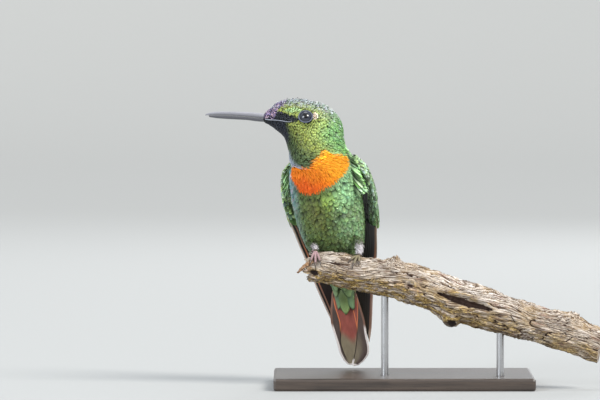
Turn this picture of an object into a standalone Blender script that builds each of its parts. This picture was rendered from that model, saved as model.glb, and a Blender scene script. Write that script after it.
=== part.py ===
"""A life-size jewelfront hummingbird gripping a cut branch, held on a display stand.

Lengths are in millimetres throughout and become metres in `mesh_object`. The
stand's underside lies on Z = 0 at the origin, the bill points along -X, and the
breast faces -Y. The body is one bent form: a spine from the bill's base to the
tail's tip carries a flat ring at each station, and thin cuts across the spine
part it into head, neck, trunk and tail.
"""

import math

import bmesh
import bpy
import numpy as np

MM = 0.001
GAP = 0.3  # space between two solids that meet

# Spine stations from the bill's base to the tail's tip. Each row is the ring's
# centre X, Y, Z, then the compass turn and the lift of the ring's back, in degrees.
SPINE = np.array([
    (-45.3, -10.0, 87.2, 0, 82),  # 0 base of the bill
    (-43.2, -10.0, 87.7, 0, 88),
    (-41.0, -10.0, 88.0, 0, 90),  # 2 forehead
    (-37.9, -10.0, 87.4, 0, 84),
    (-34.8, -10.0, 85.8, 0, 72),
    (-31.9, -10.0, 84.2, 0, 59),  # 5 crown
    (-29.7, -10.0, 81.8, 0, 47),
    (-28.2, -10.0, 78.9, 8, 37),  # 7 hind neck
    (-27.6, -10.0, 76.0, 25, 30),
    (-27.1, -9.5, 73.5, 50, 28),
    (-26.4, -7.5, 69.5, 68, 28),  # 10 shoulders
    (-25.0, -3.7, 62.5, 72, 30),
    (-23.8, 0.2, 55.8, 72, 30),  # 12 belly
    (-22.6, 4.0, 49.4, 72, 30),
    (-21.6, 7.0, 44.5, 72, 30),
    (-20.7, 9.2, 40.4, 72, 29),
    (-20.0, 11.2, 36.3, 72, 27),
    (-19.3, 13.2, 31.4, 72, 24),  # 17 root of the tail
    (-18.4, 15.2, 26.0, 72, 22),
    (-17.4, 17.4, 20.0, 72, 21),
    (-16.2, 19.9, 12.8, 72, 21),
    (-16.3, 22.3, 5.4, 72, 21),  # 21 tip of the tail
])

# Half sizes of the body's rings: to each side, to the back and to the belly.
BODY = np.array([
    (1.5, 1.35, 1.35),
    (2.7, 2.7, 2.9),
    (4.2, 4.2, 4.9),
    (5.7, 5.7, 6.6),
    (6.8, 7.6, 8.6),
    (7.3, 9.4, 9.9),
    (7.6, 10.4, 10.6),
    (8.1, 10.4, 10.5),
    (8.8, 9.5, 9.8),
    (9.8, 8.9, 9.2),
    (10.9, 9.2, 9.6),
    (11.5, 9.5, 10.5),
    (11.3, 9.0, 10.5),
    (10.4, 8.1, 9.4),
    (9.0, 7.0, 7.9),
    (7.2, 5.8, 6.2),
    (5.4, 4.4, 4.5),
    (3.9, 3.0, 3.0),
])
NECK_TOP = 7
NECK_BASE = 10
TAIL_ROOT = 17

# Tail: station, half width, half thickness, and how far its edges hang.
TAIL = np.array([
    (17.0, 3.9, 2.9, 0.0),
    (17.5, 4.4, 2.4, 0.2),
    (18.0, 5.0, 1.7, 0.5),
    (18.5, 5.6, 1.1, 0.9),
    (19.0, 5.9, 0.8, 1.1),
    (19.5, 5.6, 0.65, 1.2),
    (20.0, 5.0, 0.55, 1.1),
    (20.4, 4.3, 0.5, 0.9),
    (20.75, 3.0, 0.45, 0.5),
    (20.95, 1.6, 0.4, 0.2),
    (21.0, 0.6, 0.35, 0.0),
])

# Folded wing: station, then how far out and how far back its leading and its
# trailing edge lie from the spine, its thickness and its outward camber.
WING = np.array([
    (9.1, 11.0, 3.0, 9.7, 5.4, 1.0, 0.3),
    (9.62, 11.9, 2.2, 8.9, 6.9, 1.4, 0.8),
    (10.2, 14.2, 0.8, 7.9, 9.0, 2.4, 1.5),
    (11.07, 15.6, 0.8, 7.0, 10.6, 2.8, 1.6),
    (12.1, 15.6, 1.2, 6.2, 10.4, 2.4, 1.5),
    (13.3, 14.5, 1.8, 5.0, 9.4, 2.0, 1.3),
    (14.85, 13.0, 1.6, 4.0, 8.0, 1.5, 1.2),
    (16.5, 11.1, 1.2, 3.2, 6.8, 1.1, 1.1),
    (17.8, 9.3, 1.4, 2.8, 5.6, 0.9, 1.0),
    (19.0, 7.5, 2.3, 2.8, 5.0, 0.8, 0.8),
    (20.2, 4.9, 3.5, 3.9, 4.4, 0.6, 0.3),
])
COVERT_END = 12.6  # station where the coverts give way to the long feathers
SECONDARY_END = 16.4
WING_SPLIT = 0.48  # share of the chord that the primaries take beside the secondaries
THIN = 0.25  # half of the thinnest blade

# Bill: X, culmen, cutting edge and lower edge (Z), and half width.
BILL = np.array([
    (-45.65, 88.6, 87.0, 85.85, 1.3),
    (-47.3, 88.75, 87.1, 85.95, 1.2),
    (-51.0, 89.0, 87.5, 86.4, 1.05),
    (-56.5, 89.15, 87.85, 86.7, 0.95),
    (-60.0, 89.1, 88.0, 86.95, 0.85),
    (-62.1, 88.9, 88.0, 87.25, 0.65),
    (-63.4, 88.5, 87.9, 87.4, 0.45),
    (-64.1, 88.2, 87.75, 87.5, 0.25),
])
BILL_Y = -10.0
LOWER_BILL_ENDS = 5.2  # the lower bill stops this many rows down the table

EYE_X = -31.7
EYE_Z = 87.5
EYE_RADIUS = 2.6
EYE_DEPTH = 1.72  # of the eyeball's centre below the cheek

# Perch: X, Z and radius of its middle line, which recedes at PERCH_YAW from the feet.
PERCH = np.array([
    (-30.4, 38.9, 4.5),
    (-24.0, 38.35, 5.1),
    (-14.2, 36.75, 5.4),
    (-5.5, 35.3, 5.6),
    (1.9, 33.75, 6.0),
    (7.1, 32.1, 6.1),
    (14.8, 29.2, 6.5),
    (21.3, 27.3, 6.5),
    (34.2, 23.3, 5.9),
    (47.1, 19.3, 5.6),
    (63.0, 13.9, 5.3),
])
PERCH_YAW = math.radians(8)
PERCH_FOOT_X = -14.0
PERCH_FOOT_Y = -7.5
# Knots and dents of the perch: X, angle from its top towards the front, length,
# breadth in degrees and height.
KNOTS = (
    (17.5, 162, 3.2, 30, 2.6),
    (20.0, 88, 6.0, 15, -1.5),
    (-4.0, 10, 1.8, 40, 1.1),
    (52.5, 5, 3.6, 40, 1.3),
    (29.0, 205, 5.0, 35, 0.6),
)
HOLLOW_DEPTH = 2.6
HOLLOW_RADIUS = 0.55  # of the rotted end's pit, as a share of the perch

FLAP_X = -29.2
FLAP_TURN = math.radians(66)

FOOT_CLEAR = 0.35  # between the toes and the bark
TOE_RADIUS = 0.45
ANKLE_RADIUS = 0.77
RISE_OFF_PERCH = 0.62  # how squarely the shin leaves the perch, from 0 to 1

BASE_SIZE = (84.0, 58.0, 4.0)
BASE_ROUNDING = 0.8
ROD_RADIUS = 1.2
ROD_X = (-6.1, 31.0)
SOCKET_DEPTH = 2.6

PARTS = bpy.data.collections.new("hummingbird")
CUTTERS = bpy.data.collections.new("cutters")


def clear_scene():
    """Remove what the file opened with and link the two collections."""
    for thing in list(bpy.data.objects):
        bpy.data.objects.remove(thing)
    for collection in (PARTS, CUTTERS):
        bpy.context.scene.collection.children.link(collection)


def material(name, colour, roughness, metallic=0.0):
    """A Principled material with one colour."""
    made = bpy.data.materials.new(name)
    made.use_nodes = True
    shader = made.node_tree.nodes["Principled BSDF"]
    shader.inputs["Base Color"].default_value = (*colour, 1.0)
    shader.inputs["Roughness"].default_value = roughness
    shader.inputs["Metallic"].default_value = metallic
    return made


def smooth(rows, at):
    """Rows of a table at fractional row numbers, by a Catmull-Rom curve."""
    at = np.clip(np.atleast_1d(np.asarray(at, float)), 0, len(rows) - 1)
    low = np.minimum(at.astype(int), len(rows) - 2)
    t = (at - low)[:, None]
    padded = np.vstack([2 * rows[0] - rows[1], rows, 2 * rows[-1] - rows[-2]])
    p0, p1, p2, p3 = (padded[low + step] for step in range(4))
    return 0.5 * (
        2 * p1 + (p2 - p0) * t + (2 * p0 - 5 * p1 + 4 * p2 - p3) * t**2
        + (3 * p1 - p0 - 3 * p2 + p3) * t**3
    )


def by_first_column(table, at):
    """The other columns of a table at values of its first column."""
    row = np.interp(at, table[:, 0], np.arange(len(table)))
    return smooth(table[:, 1:], row)


def spine_frame(station):
    """Centres, left and back directions and forward normals of the spine's rings."""
    x, y, z, turn, lift = smooth(SPINE, station).T
    turn, lift = np.radians(turn), np.radians(lift)
    centre = np.stack([x, y, z], 1)
    left = np.stack([np.sin(turn), -np.cos(turn), 0 * turn], 1)
    back = np.stack([np.cos(turn) * np.cos(lift), np.sin(turn) * np.cos(lift), np.sin(lift)], 1)
    return centre, left, back, np.cross(left, back)


def on_spine(station, out, back_by, shift=0.0):
    """Points at (out, back_by) in the rings' planes, moved by shift along the spine."""
    centre, left, back, normal = spine_frame(station)
    tailward = -np.sign(np.sum(normal[0] * (spine_frame(0)[0][0] - centre[-1])))
    centre = centre + tailward * normal * shift
    return centre[:, None] + left[:, None] * out[..., None] + back[:, None] * back_by[..., None]


def body_rings(station, count=26, shift=0.0):
    """Rings of the body's outer form: half ellipses for the back and the belly."""
    side, back, belly = (column[:, None] for column in smooth(BODY, station).T)
    angle = np.linspace(0, 2 * math.pi, count, endpoint=False)[None]
    rise = np.cos(angle)
    return on_spine(station, side * np.sin(angle), np.where(rise > 0, back, belly) * rise, shift)


def mesh_object(name, mesh, look, collection=PARTS, flat_above=40):
    """An object for a mesh, shaded smooth but for its sharp edges."""
    thing = bpy.data.objects.new(name, mesh)
    collection.objects.link(thing)
    mesh.shade_smooth()
    mesh.set_sharp_from_angle(angle=math.radians(flat_above))
    if look:
        mesh.materials.append(look)
    return thing


def loft(name, rings, look, collection=PARTS):
    """A closed solid through rings of equal count, with a flat face on each end."""
    rows, count = rings.shape[:2]
    corner = np.arange(rows * count).reshape(rows, count)
    after = np.roll(corner, -1, 1)
    sides = np.stack([corner[:-1], after[:-1], after[1:], corner[1:]], -1).reshape(-1, 4)
    faces = sides.tolist() + [corner[0].tolist(), corner[-1, ::-1].tolist()]
    mesh = bpy.data.meshes.new(name)
    mesh.from_pydata((rings.reshape(-1, 3) * MM).tolist(), [], faces)
    outward = bmesh.new()
    outward.from_mesh(mesh)
    bmesh.ops.recalc_face_normals(outward, faces=outward.faces)
    outward.to_mesh(mesh)
    outward.free()
    return mesh_object(name, mesh, look, collection)


def tube(name, points, radii, look, collection=PARTS, resolution=2):
    """A closed tube along points, from a bevelled curve made into a mesh."""
    curve = bpy.data.curves.new(name, "CURVE")
    curve.dimensions = "3D"
    curve.bevel_depth = MM
    curve.bevel_resolution = resolution
    curve.use_fill_caps = True
    line = curve.splines.new("POLY")
    line.points.add(len(points) - 1)
    for knot, place, radius in zip(line.points, points, radii):
        knot.co = (*(np.asarray(place) * MM), 1.0)
        knot.radius = radius
    guide = bpy.data.objects.new(name + "_guide", curve)
    collection.objects.link(guide)
    seen = guide.evaluated_get(bpy.context.evaluated_depsgraph_get())
    mesh = bpy.data.meshes.new_from_object(seen)
    welded = bmesh.new()
    welded.from_mesh(mesh)
    bmesh.ops.remove_doubles(welded, verts=welded.verts, dist=1e-6)
    bmesh.ops.recalc_face_normals(welded, faces=welded.faces)
    welded.to_mesh(mesh)
    welded.free()
    bpy.data.objects.remove(guide)
    mesh.materials.clear()
    return mesh_object(name, mesh, look, collection)


def ball(name, centre, radius, look, collection=PARTS, segments=20):
    """A sphere from the primitive, with its place in its mesh."""
    mesh = bpy.data.meshes.new(name)
    made = bmesh.new()
    bmesh.ops.create_uvsphere(made, u_segments=segments, v_segments=segments * 2 // 3, radius=radius * MM)
    bmesh.ops.translate(made, verts=made.verts, vec=np.asarray(centre) * MM)
    made.to_mesh(mesh)
    made.free()
    return mesh_object(name, mesh, look, collection)


def rod(name, x, y, bottom, top, radius, look, collection=PARTS):
    """An upright cylinder from the primitive."""
    mesh = bpy.data.meshes.new(name)
    made = bmesh.new()
    bmesh.ops.create_cone(
        made, cap_ends=True, segments=24, radius1=radius * MM, radius2=radius * MM,
        depth=(top - bottom) * MM,
    )
    bmesh.ops.translate(made, verts=made.verts, vec=np.array((x, y, (top + bottom) / 2)) * MM)
    made.to_mesh(mesh)
    made.free()
    return mesh_object(name, mesh, look, collection)


def combine(thing, other, operation):
    """Join or cut an object with another, which stays as a hidden helper."""
    step = thing.modifiers.new(f"{operation.lower()} {other.name}", "BOOLEAN")
    step.operation = operation
    step.solver = "EXACT"
    step.object = other
    other.hide_render = True
    other.display_type = "WIRE"


def cheek(left_side):
    """The point of the head's side at the eye, and the outward direction there."""
    station, angle = np.linspace(3, 7, 161), np.radians(np.linspace(20, 160, 181))
    side, back, belly = (column[:, None] for column in smooth(BODY, station).T)
    rise = np.cos(angle)[None]
    hand = 1 if left_side else -1
    skin = on_spine(station, hand * side * np.sin(angle)[None], np.where(rise > 0, back, belly) * rise)
    miss = np.hypot(skin[..., 0] - EYE_X, skin[..., 2] - EYE_Z)
    row, column = np.unravel_index(miss.argmin(), miss.shape)
    along = skin[row + 1, column] - skin[row - 1, column]
    around = skin[row, column + 1] - skin[row, column - 1]
    normal = np.cross(along, around)
    normal *= -hand * np.sign(normal[1]) / np.linalg.norm(normal)
    return skin[row, column], normal


def make_head(plumage, iris):
    """Head with an eye socket each side, and the two eyeballs in them."""
    station = np.linspace(0, NECK_TOP, 19)
    rings = body_rings(station)
    rings[-1] = body_rings(station[-1:], shift=-GAP / 2)[0]
    head = loft("head", rings, plumage)
    for side, left_side in (("left", True), ("right", False)):
        surface, outward = cheek(left_side)
        centre = surface - outward * EYE_DEPTH
        socket = ball("socket_" + side, centre, EYE_RADIUS + GAP, None, CUTTERS, segments=16)
        combine(head, socket, "DIFFERENCE")
        ball("eye_" + side, centre, EYE_RADIUS, iris, segments=16)


def make_bill(horn):
    """Upper and lower bill: half ellipses above and below the cutting edge."""
    arc = np.linspace(0, math.pi, 9)
    for name, last, rise in (("bill_upper", len(BILL) - 1.0, 1), ("bill_lower", LOWER_BILL_ENDS, -1)):
        x, top, edge, bottom, width = smooth(BILL, np.linspace(0, last, 12)).T
        edge = edge + rise * GAP / 2
        height = np.maximum(top - edge if rise > 0 else edge - bottom, 0.5)
        ring = np.stack([
            np.repeat(x[:, None], len(arc), 1),
            BILL_Y + width[:, None] * np.cos(arc)[None],
            edge[:, None] + rise * height[:, None] * np.sin(arc)[None],
        ], -1)
        loft(name, ring, horn)


def make_trunk(plumage, breast):
    """Neck and trunk between the thin cuts."""
    station = np.linspace(NECK_TOP, NECK_BASE, 8)
    rings = body_rings(station)
    rings[0] = body_rings(station[:1], shift=GAP / 2)[0]
    rings[-1] = body_rings(station[-1:], shift=-GAP / 2)[0]
    loft("neck", rings, breast)
    station = np.linspace(NECK_BASE, TAIL_ROOT, 16)
    rings = body_rings(station)
    rings[0] = body_rings(station[:1], shift=GAP / 2)[0]
    rings[-1] = body_rings(station[-1:], shift=-GAP / 2)[0]
    loft("trunk", rings, plumage)


def make_tail(rufous):
    """Tail feathers as one shallow roof with a rounded tip."""
    station = np.concatenate([np.linspace(TAIL_ROOT, 20, 9), np.linspace(20.2, 21, 7)])
    width, thick, hang = (column[:, None] for column in by_first_column(TAIL, station).T)
    angle = np.linspace(0, 2 * math.pi, 18, endpoint=False)[None]
    out = width * np.sin(angle)
    back = np.maximum(thick, THIN) * np.cos(angle) - hang * np.sin(angle) ** 2
    rings = on_spine(station, out, back)
    rings[0] = on_spine(station[:1], out[:1], back[:1], GAP / 2)[0]
    loft("tail", rings, rufous)


def wing_rings(station, chord_from, chord_to, hand, shift=0.0, count=7):
    """Rings of a stretch of the folded wing, between two shares of its chord."""
    lead_out, lead_back, trail_out, trail_back, thick, camber = (
        column[:, None] for column in by_first_column(WING, station).T
    )
    share = np.linspace(0, 1, count)[None]
    share = chord_from[:, None] * (1 - share) + chord_to[:, None] * share
    run_out, run_back = trail_out - lead_out, trail_back - lead_back
    length = np.hypot(run_out, run_back)
    away_out, away_back = run_back / length, -run_out / length
    bow = 4 * share * (1 - share)
    half = np.maximum(THIN, thick / 2 * bow**0.6)
    middle_out = lead_out + run_out * share + away_out * camber * bow
    middle_back = lead_back + run_back * share + away_back * camber * bow
    out = np.hstack([middle_out + away_out * half, (middle_out - away_out * half)[:, ::-1]])
    back = np.hstack([middle_back + away_back * half, (middle_back - away_back * half)[:, ::-1]])
    return on_spine(station, hand * out, back, shift)


def make_wing(side, hand, coverts, flight):
    """Coverts, secondaries and primaries of one folded wing."""
    pieces = (
        ("coverts", WING[0, 0], COVERT_END, 10, (0, 0), (1, 1)),
        ("secondaries", COVERT_END, SECONDARY_END, 8, (WING_SPLIT + 0.04, 0.86), (1, 1)),
        ("primaries", COVERT_END, WING[-1, 0], 15, (0, 0), (WING_SPLIT, WING_SPLIT)),
    )
    for name, first, last, rows, chord_from, chord_to in pieces:
        station = np.linspace(first, last, rows)
        start = np.interp(station, (first + 2, last), chord_from)
        end = np.interp(station, (first, last), chord_to)
        if name == "primaries":
            end = np.interp(station, (SECONDARY_END, SECONDARY_END + 1.2), (WING_SPLIT, 1.0))
        rings = wing_rings(station, start, end, hand)
        if first == COVERT_END:
            rings[0] = wing_rings(station[:1], start[:1], end[:1], hand, GAP / 2)[0]
        if last == COVERT_END:
            rings[-1] = wing_rings(station[-1:], start[-1:], end[-1:], hand, -GAP / 2)[0]
        loft(f"wing_{side}_{name}", rings, coverts if name == "coverts" else flight)


def perch_middle(x):
    """Centre and radius of the perch at X, before its knots."""
    z, radius = by_first_column(PERCH, x).T
    y = PERCH_FOOT_Y - (np.atleast_1d(x) - PERCH_FOOT_X) * math.tan(PERCH_YAW)
    return np.stack([np.atleast_1d(x) + 0 * z, y, z], 1), radius


def perch_radius(x, angle):
    """Radius at X and at an angle from the top towards the front: knots and ridges."""
    _, radius = perch_middle(x)
    x, radius = np.atleast_1d(x)[:, None], radius[:, None]
    angle = np.asarray(angle)[None] if np.ndim(angle) == 1 else np.asarray(angle)
    bark = (
        0.16 * np.sin(3 * angle + 0.16 * x) + 0.12 * np.sin(7 * angle - 0.11 * x + 1)
        + 0.10 * np.sin(0.55 * x + 2 * angle)
    )
    for knot_x, towards, length, breadth, height in KNOTS:
        turn = (np.degrees(angle) - towards + 180) % 360 - 180
        bark = bark + height * np.exp(-(((x - knot_x) / length) ** 2) - (turn / breadth) ** 2)
    return radius + bark


def perch_surface(x, angle, lift=0.0):
    """Points of the perch at X and at an angle, raised by lift off its bark."""
    centre, _ = perch_middle(x)
    ahead, _ = perch_middle(np.atleast_1d(x) + 0.5)
    behind, _ = perch_middle(np.atleast_1d(x) - 0.5)
    along = ahead - behind
    along /= np.linalg.norm(along, axis=1)[:, None]
    front = np.cross(along, (0, 0, 1))
    front /= np.linalg.norm(front, axis=1)[:, None]
    top = np.cross(front, along)
    radius = perch_radius(x, angle) + lift
    angle = np.asarray(angle)[None] if np.ndim(angle) == 1 else np.asarray(angle)
    up, out = radius * np.cos(angle), radius * np.sin(angle)
    return centre[:, None] + top[:, None] * up[..., None] + front[:, None] * out[..., None]


def make_perch(bark):
    """The cut branch with a rotted end, a torn bark flap and sockets for the rods."""
    angle = np.linspace(0, 2 * math.pi, 20, endpoint=False)
    x = np.linspace(PERCH[0, 0], PERCH[-1, 0], 37)
    rings = perch_surface(x, angle)
    middle = rings[0].mean(0)
    inner = middle + (rings[0] - middle) * HOLLOW_RADIUS
    pit = middle + (rings[0] - middle) * HOLLOW_RADIUS * 0.5 + (HOLLOW_DEPTH, 0, 0)
    perch = loft("perch", np.concatenate([[pit, inner], rings]), bark)
    start = perch_surface(np.array([FLAP_X]), np.array([FLAP_TURN]), -0.6)[0, 0]
    steps = np.array([(0, 0, 0), (-1.2, -0.5, -0.4), (-2.8, -0.9, -1.5), (-4.6, -1.2, -3.2)])
    flap = tube("perch_flap", start + steps, (0.7, 0.6, 0.55, 0.4), None, CUTTERS)
    combine(perch, flap, "UNION")
    return perch


def belly_point(station, turn, hand):
    """A point of the belly at an angle from its middle towards one side."""
    side, _, belly = smooth(BODY, station)[0]
    out, back = hand * side * math.sin(turn), -belly * math.cos(turn)
    return on_spine(np.array([station]), np.array([[out]]), np.array([[back]]))[0, 0]


def make_leg(side, hand, station, turn, foot_x, ankle_turn, toes, down, skin):
    """A feathered leg from the belly, and a foot whose toes wrap the perch.

    toes holds, for each one, how far its tip lies along the perch from the ankle
    and the angle from the perch's top at which it ends.
    """
    top = belly_point(station, turn, hand)
    along = belly_point(station + 0.02, turn, hand) - top
    outward = np.cross(belly_point(station, turn + 0.02, hand) - top, along)
    outward *= np.sign(outward @ (top - spine_frame(station)[0][0])) / np.linalg.norm(outward)
    place = np.array([foot_x])
    ankle_lift = FOOT_CLEAR + TOE_RADIUS * 2
    ankle = perch_surface(place, np.array([ankle_turn]), ankle_lift)[0, 0]
    radial = perch_surface(place, np.array([ankle_turn]), ankle_lift + 1)[0, 0] - ankle
    behind = perch_surface(place, np.array([ankle_turn - 0.1]), ankle_lift)[0, 0] - ankle
    rise = radial * RISE_OFF_PERCH + behind / np.linalg.norm(behind) * (1 - RISE_OFF_PERCH)
    rise /= np.linalg.norm(rise)
    start = top + outward * GAP * 1.2
    end = ankle + rise * (ANKLE_RADIUS + GAP)
    t = np.linspace(0, 1, 9)[:, None]
    path = (
        start * (1 - t) ** 3 + (start + outward * 1.5) * 3 * t * (1 - t) ** 2
        + (end + rise * 1.5) * 3 * t**2 * (1 - t) + end * t**3
    )
    tube("leg_" + side, path, np.linspace(1.15, 0.7, 9), down)

    foot = ball("foot_" + side, ankle, ANKLE_RADIUS, skin, segments=12)
    share = np.linspace(0, 1, 8)
    radii = toe_radii(share)
    for number, (shift, reach) in enumerate(toes):
        turns = np.linspace(ankle_turn, reach, len(share))
        places = foot_x + shift * share**0.7
        path = np.vstack([
            perch_surface(np.array([x]), np.array([at]), FOOT_CLEAR + radius)[0]
            for x, at, radius in zip(places, turns, radii)
        ])
        path[0] = ankle
        toe = tube(f"toe_{side}_{number}", path, radii, None, CUTTERS, resolution=1)
        combine(foot, toe, "UNION")


def toe_radii(share):
    """Toe radius along its length: even, then tapering through the claw."""
    return TOE_RADIUS * np.interp(share, (0, 0.65, 0.8, 1), (1.1, 1.0, 0.85, 0.55))


def make_stand(board, metal, perch):
    """A bevelled base plate and two rods socketed in it and in the perch."""
    mesh = bpy.data.meshes.new("stand_base")
    plate = bmesh.new()
    bmesh.ops.create_cube(plate, size=1)
    bmesh.ops.scale(plate, verts=plate.verts, vec=np.array(BASE_SIZE) * MM)
    bmesh.ops.translate(plate, verts=plate.verts, vec=(0, 0, BASE_SIZE[2] / 2 * MM))
    plate.to_mesh(mesh)
    plate.free()
    base = mesh_object("stand_base", mesh, board, flat_above=30)
    rounding = base.modifiers.new("rounding", "BEVEL")
    rounding.width = BASE_ROUNDING * MM
    rounding.segments = 2
    for number, x in enumerate(ROD_X, 1):
        underside = perch_surface(np.array([x]), np.array([math.pi]))[0, 0]
        centre, _ = perch_middle(x)
        y = centre[0, 1]
        bottom, top = BASE_SIZE[2] - SOCKET_DEPTH, underside[2] + SOCKET_DEPTH
        rod(f"stand_rod_{number}", x, y, bottom, top, ROD_RADIUS, metal)
        hole = rod(f"base_hole_{number}", x, y, bottom - GAP, BASE_SIZE[2] + 2, ROD_RADIUS + GAP, None, CUTTERS)
        combine(base, hole, "DIFFERENCE")
        hole = rod(f"perch_hole_{number}", x, y, underside[2] - 4, top + GAP, ROD_RADIUS + GAP, None, CUTTERS)
        combine(perch, hole, "DIFFERENCE")


def main():
    """Build the bird, its perch and its stand."""
    clear_scene()
    green = material("green_plumage", (0.10, 0.28, 0.06), 0.45, 0.3)
    breast = material("orange_breast", (0.80, 0.20, 0.02), 0.6)
    horn = material("bill_horn", (0.03, 0.03, 0.035), 0.35)
    iris = material("dark_eye", (0.01, 0.008, 0.008), 0.08)
    coverts = material("wing_coverts", (0.08, 0.16, 0.05), 0.5, 0.2)
    flight = material("flight_feathers", (0.05, 0.035, 0.035), 0.6)
    rufous = material("rufous_tail", (0.28, 0.07, 0.05), 0.6)
    down = material("white_down", (0.75, 0.70, 0.72), 0.9)
    toe_skin = material("toe_skin", (0.25, 0.15, 0.15), 0.5)
    bark = material("weathered_wood", (0.38, 0.30, 0.22), 0.9)
    board = material("stand_board", (0.05, 0.05, 0.055), 0.4)
    metal = material("stand_metal", (0.55, 0.55, 0.56), 0.3, 1.0)

    make_head(green, iris)
    make_bill(horn)
    make_trunk(green, breast)
    make_tail(rufous)
    make_wing("left", 1, coverts, flight)
    make_wing("right", -1, coverts, flight)
    perch = make_perch(bark)
    make_leg(
        "left", 1, 12.8, math.radians(60), -15.3, math.radians(14),
        ((-2.6, math.radians(58)), (-0.9, math.radians(80)), (1.1, math.radians(66)),
         (0.4, math.radians(-62))),
        down, toe_skin,
    )
    make_leg(
        "right", -1, 12.75, math.radians(33), -28.6, math.radians(22),
        ((-1.0, math.radians(66)), (1.3, math.radians(86)), (2.9, math.radians(70)),
         (-1.5, math.radians(4))),
        down, toe_skin,
    )
    make_stand(board, metal, perch)


main()
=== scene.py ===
"""A life-size jewelfront hummingbird on a cut branch: skin, plumage, bill, eyes, feet, perch and stand.

Every shape is a surface worked out with numpy in millimetres and put into a mesh in metres, in the
CAD model's frame. A Form is a surface that feathers can lie on: it gives a point for a place along
the feathers' run and a place across it. The body, the folded wings, the tail, the legs and the
branch are Forms. Plumage grows on them as closed vanes whose roots stand on the skin and whose
tips reach the outer form, and one set of markings colours the skin and the feathers alike.
"""

import logging
import math
from abc import ABC, abstractmethod
from collections.abc import Callable, Sequence
from dataclasses import dataclass, field
from enum import Enum

import bmesh
import bpy
import mathutils
import numpy as np
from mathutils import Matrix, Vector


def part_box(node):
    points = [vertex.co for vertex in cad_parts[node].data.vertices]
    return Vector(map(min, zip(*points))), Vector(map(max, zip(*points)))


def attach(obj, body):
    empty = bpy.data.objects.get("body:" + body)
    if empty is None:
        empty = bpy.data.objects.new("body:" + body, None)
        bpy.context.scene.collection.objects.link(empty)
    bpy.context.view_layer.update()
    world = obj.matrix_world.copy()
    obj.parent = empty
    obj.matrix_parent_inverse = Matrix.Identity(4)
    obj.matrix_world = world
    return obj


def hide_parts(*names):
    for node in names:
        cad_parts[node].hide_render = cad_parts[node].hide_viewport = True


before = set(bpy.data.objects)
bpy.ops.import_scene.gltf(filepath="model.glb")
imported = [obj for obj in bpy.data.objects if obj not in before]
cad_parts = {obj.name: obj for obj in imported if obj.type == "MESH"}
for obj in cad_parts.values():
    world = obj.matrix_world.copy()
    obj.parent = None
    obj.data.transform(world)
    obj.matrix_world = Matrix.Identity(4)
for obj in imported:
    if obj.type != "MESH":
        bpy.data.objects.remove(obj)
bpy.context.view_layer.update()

LOG = logging.getLogger("hummingbird")
MM = 0.001
SEED = 20
SIDES = (("left", 1), ("right", -1))  # the bird's sides and their signs
Array = np.ndarray
Triple = tuple[float, float, float]
Row = tuple[float, ...]
Socket = bpy.types.NodeSocket


# ---------------------------------------------------------------------------------------------
# Numbers: curves, soft steps and smooth noise


def catmull(rows: Array, at: Array) -> Array:
    """Rows of a table at fractional row numbers, by a Catmull-Rom curve.

    Args:
        rows: the table, one knot to a row.
        at: fractional row numbers of any shape.

    Returns:
        An array of at's shape with the table's columns added as the last axis.
    """
    at = np.clip(np.asarray(at, float), 0, len(rows) - 1)
    low = np.minimum(at.astype(int), len(rows) - 2)
    t = (at - low)[..., None]
    padded = np.vstack([2 * rows[0] - rows[1], rows, 2 * rows[-1] - rows[-2]])
    p0, p1, p2, p3 = (padded[low + step] for step in range(4))
    return 0.5 * (
        2 * p1 + (p2 - p0) * t + (2 * p0 - 5 * p1 + 4 * p2 - p3) * t**2
        + (3 * p1 - p0 - 3 * p2 + p3) * t**3
    )


def by_first_column(table: Array, at: Array) -> Array:
    """The other columns of a table at values of its first column, on the same curve."""
    row = np.interp(at, table[:, 0], np.arange(len(table)))
    return catmull(table[:, 1:], row)


def soft(value: Array, start: float, end: float) -> Array:
    """A soft step: 0 before start, 1 after end, and an S-shaped cubic between them."""
    t = np.clip((value - start) / (end - start), 0, 1)
    return t * t * (3 - 2 * t)


def spot(x: Array, z: Array, centre: Row, radii: Row) -> Array:
    """A soft ellipse: 1 in its middle, a half on its rim and 0 outside."""
    return 1 - soft(np.hypot((x - centre[0]) / radii[0], (z - centre[1]) / radii[1]), 0.75, 1.25)


def bell(value: Array, middle: float, reach: Array | float, power: int = 2) -> Array:
    """A bell: e to the minus of the distance from its middle, in reaches, to a power."""
    return np.exp(-(((value - middle) / reach) ** power))


def turned(angle: Array, heading: float = 0.0) -> Array:
    """Degrees from a heading to angles given in radians, from -180 to 180."""
    return (np.degrees(angle) - heading + 180) % 360 - 180


def around(start: float, end: float, rows: int, count: int) -> list[Array]:
    """Both parameters of a grid of rings: rows from start to end, and count places once round."""
    once_round = np.linspace(0, 2 * math.pi, count, endpoint=False)
    return np.meshgrid(np.linspace(start, end, rows), once_round, indexing="ij")


def table(*rows: Row) -> Array:
    """A dataclass field whose default is a table of numbers."""
    return field(default_factory=lambda: np.array(rows))


def ripple(x: Array, y: Array, seed: int, waves: int = 18) -> Array:
    """Smooth noise from about -1 to 1: a sum of sine waves with random headings near length 1.

    Args:
        x: first coordinate, in wavelengths.
        y: second coordinate, in wavelengths.
        seed: picks the waves.
        waves: how many are summed.

    Returns:
        The noise at each place.
    """
    pick = np.random.default_rng(seed)
    total = np.zeros(np.broadcast(x, y).shape)
    for heading, pitch, phase in zip(
        pick.uniform(0, math.pi, waves), pick.uniform(0.6, 1.8, waves), pick.uniform(0, 2 * math.pi, waves)
    ):
        total = total + np.sin(2 * math.pi * pitch * (x * math.cos(heading) + y * math.sin(heading)) + phase)
    return total / math.sqrt(waves)


def unit(vector: Array) -> Array:
    """Vectors along the last axis, made of length 1."""
    return vector / np.maximum(np.linalg.norm(vector, axis=-1, keepdims=True), 1e-12)


# ---------------------------------------------------------------------------------------------
# Forms: surfaces that feathers lie on


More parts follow.
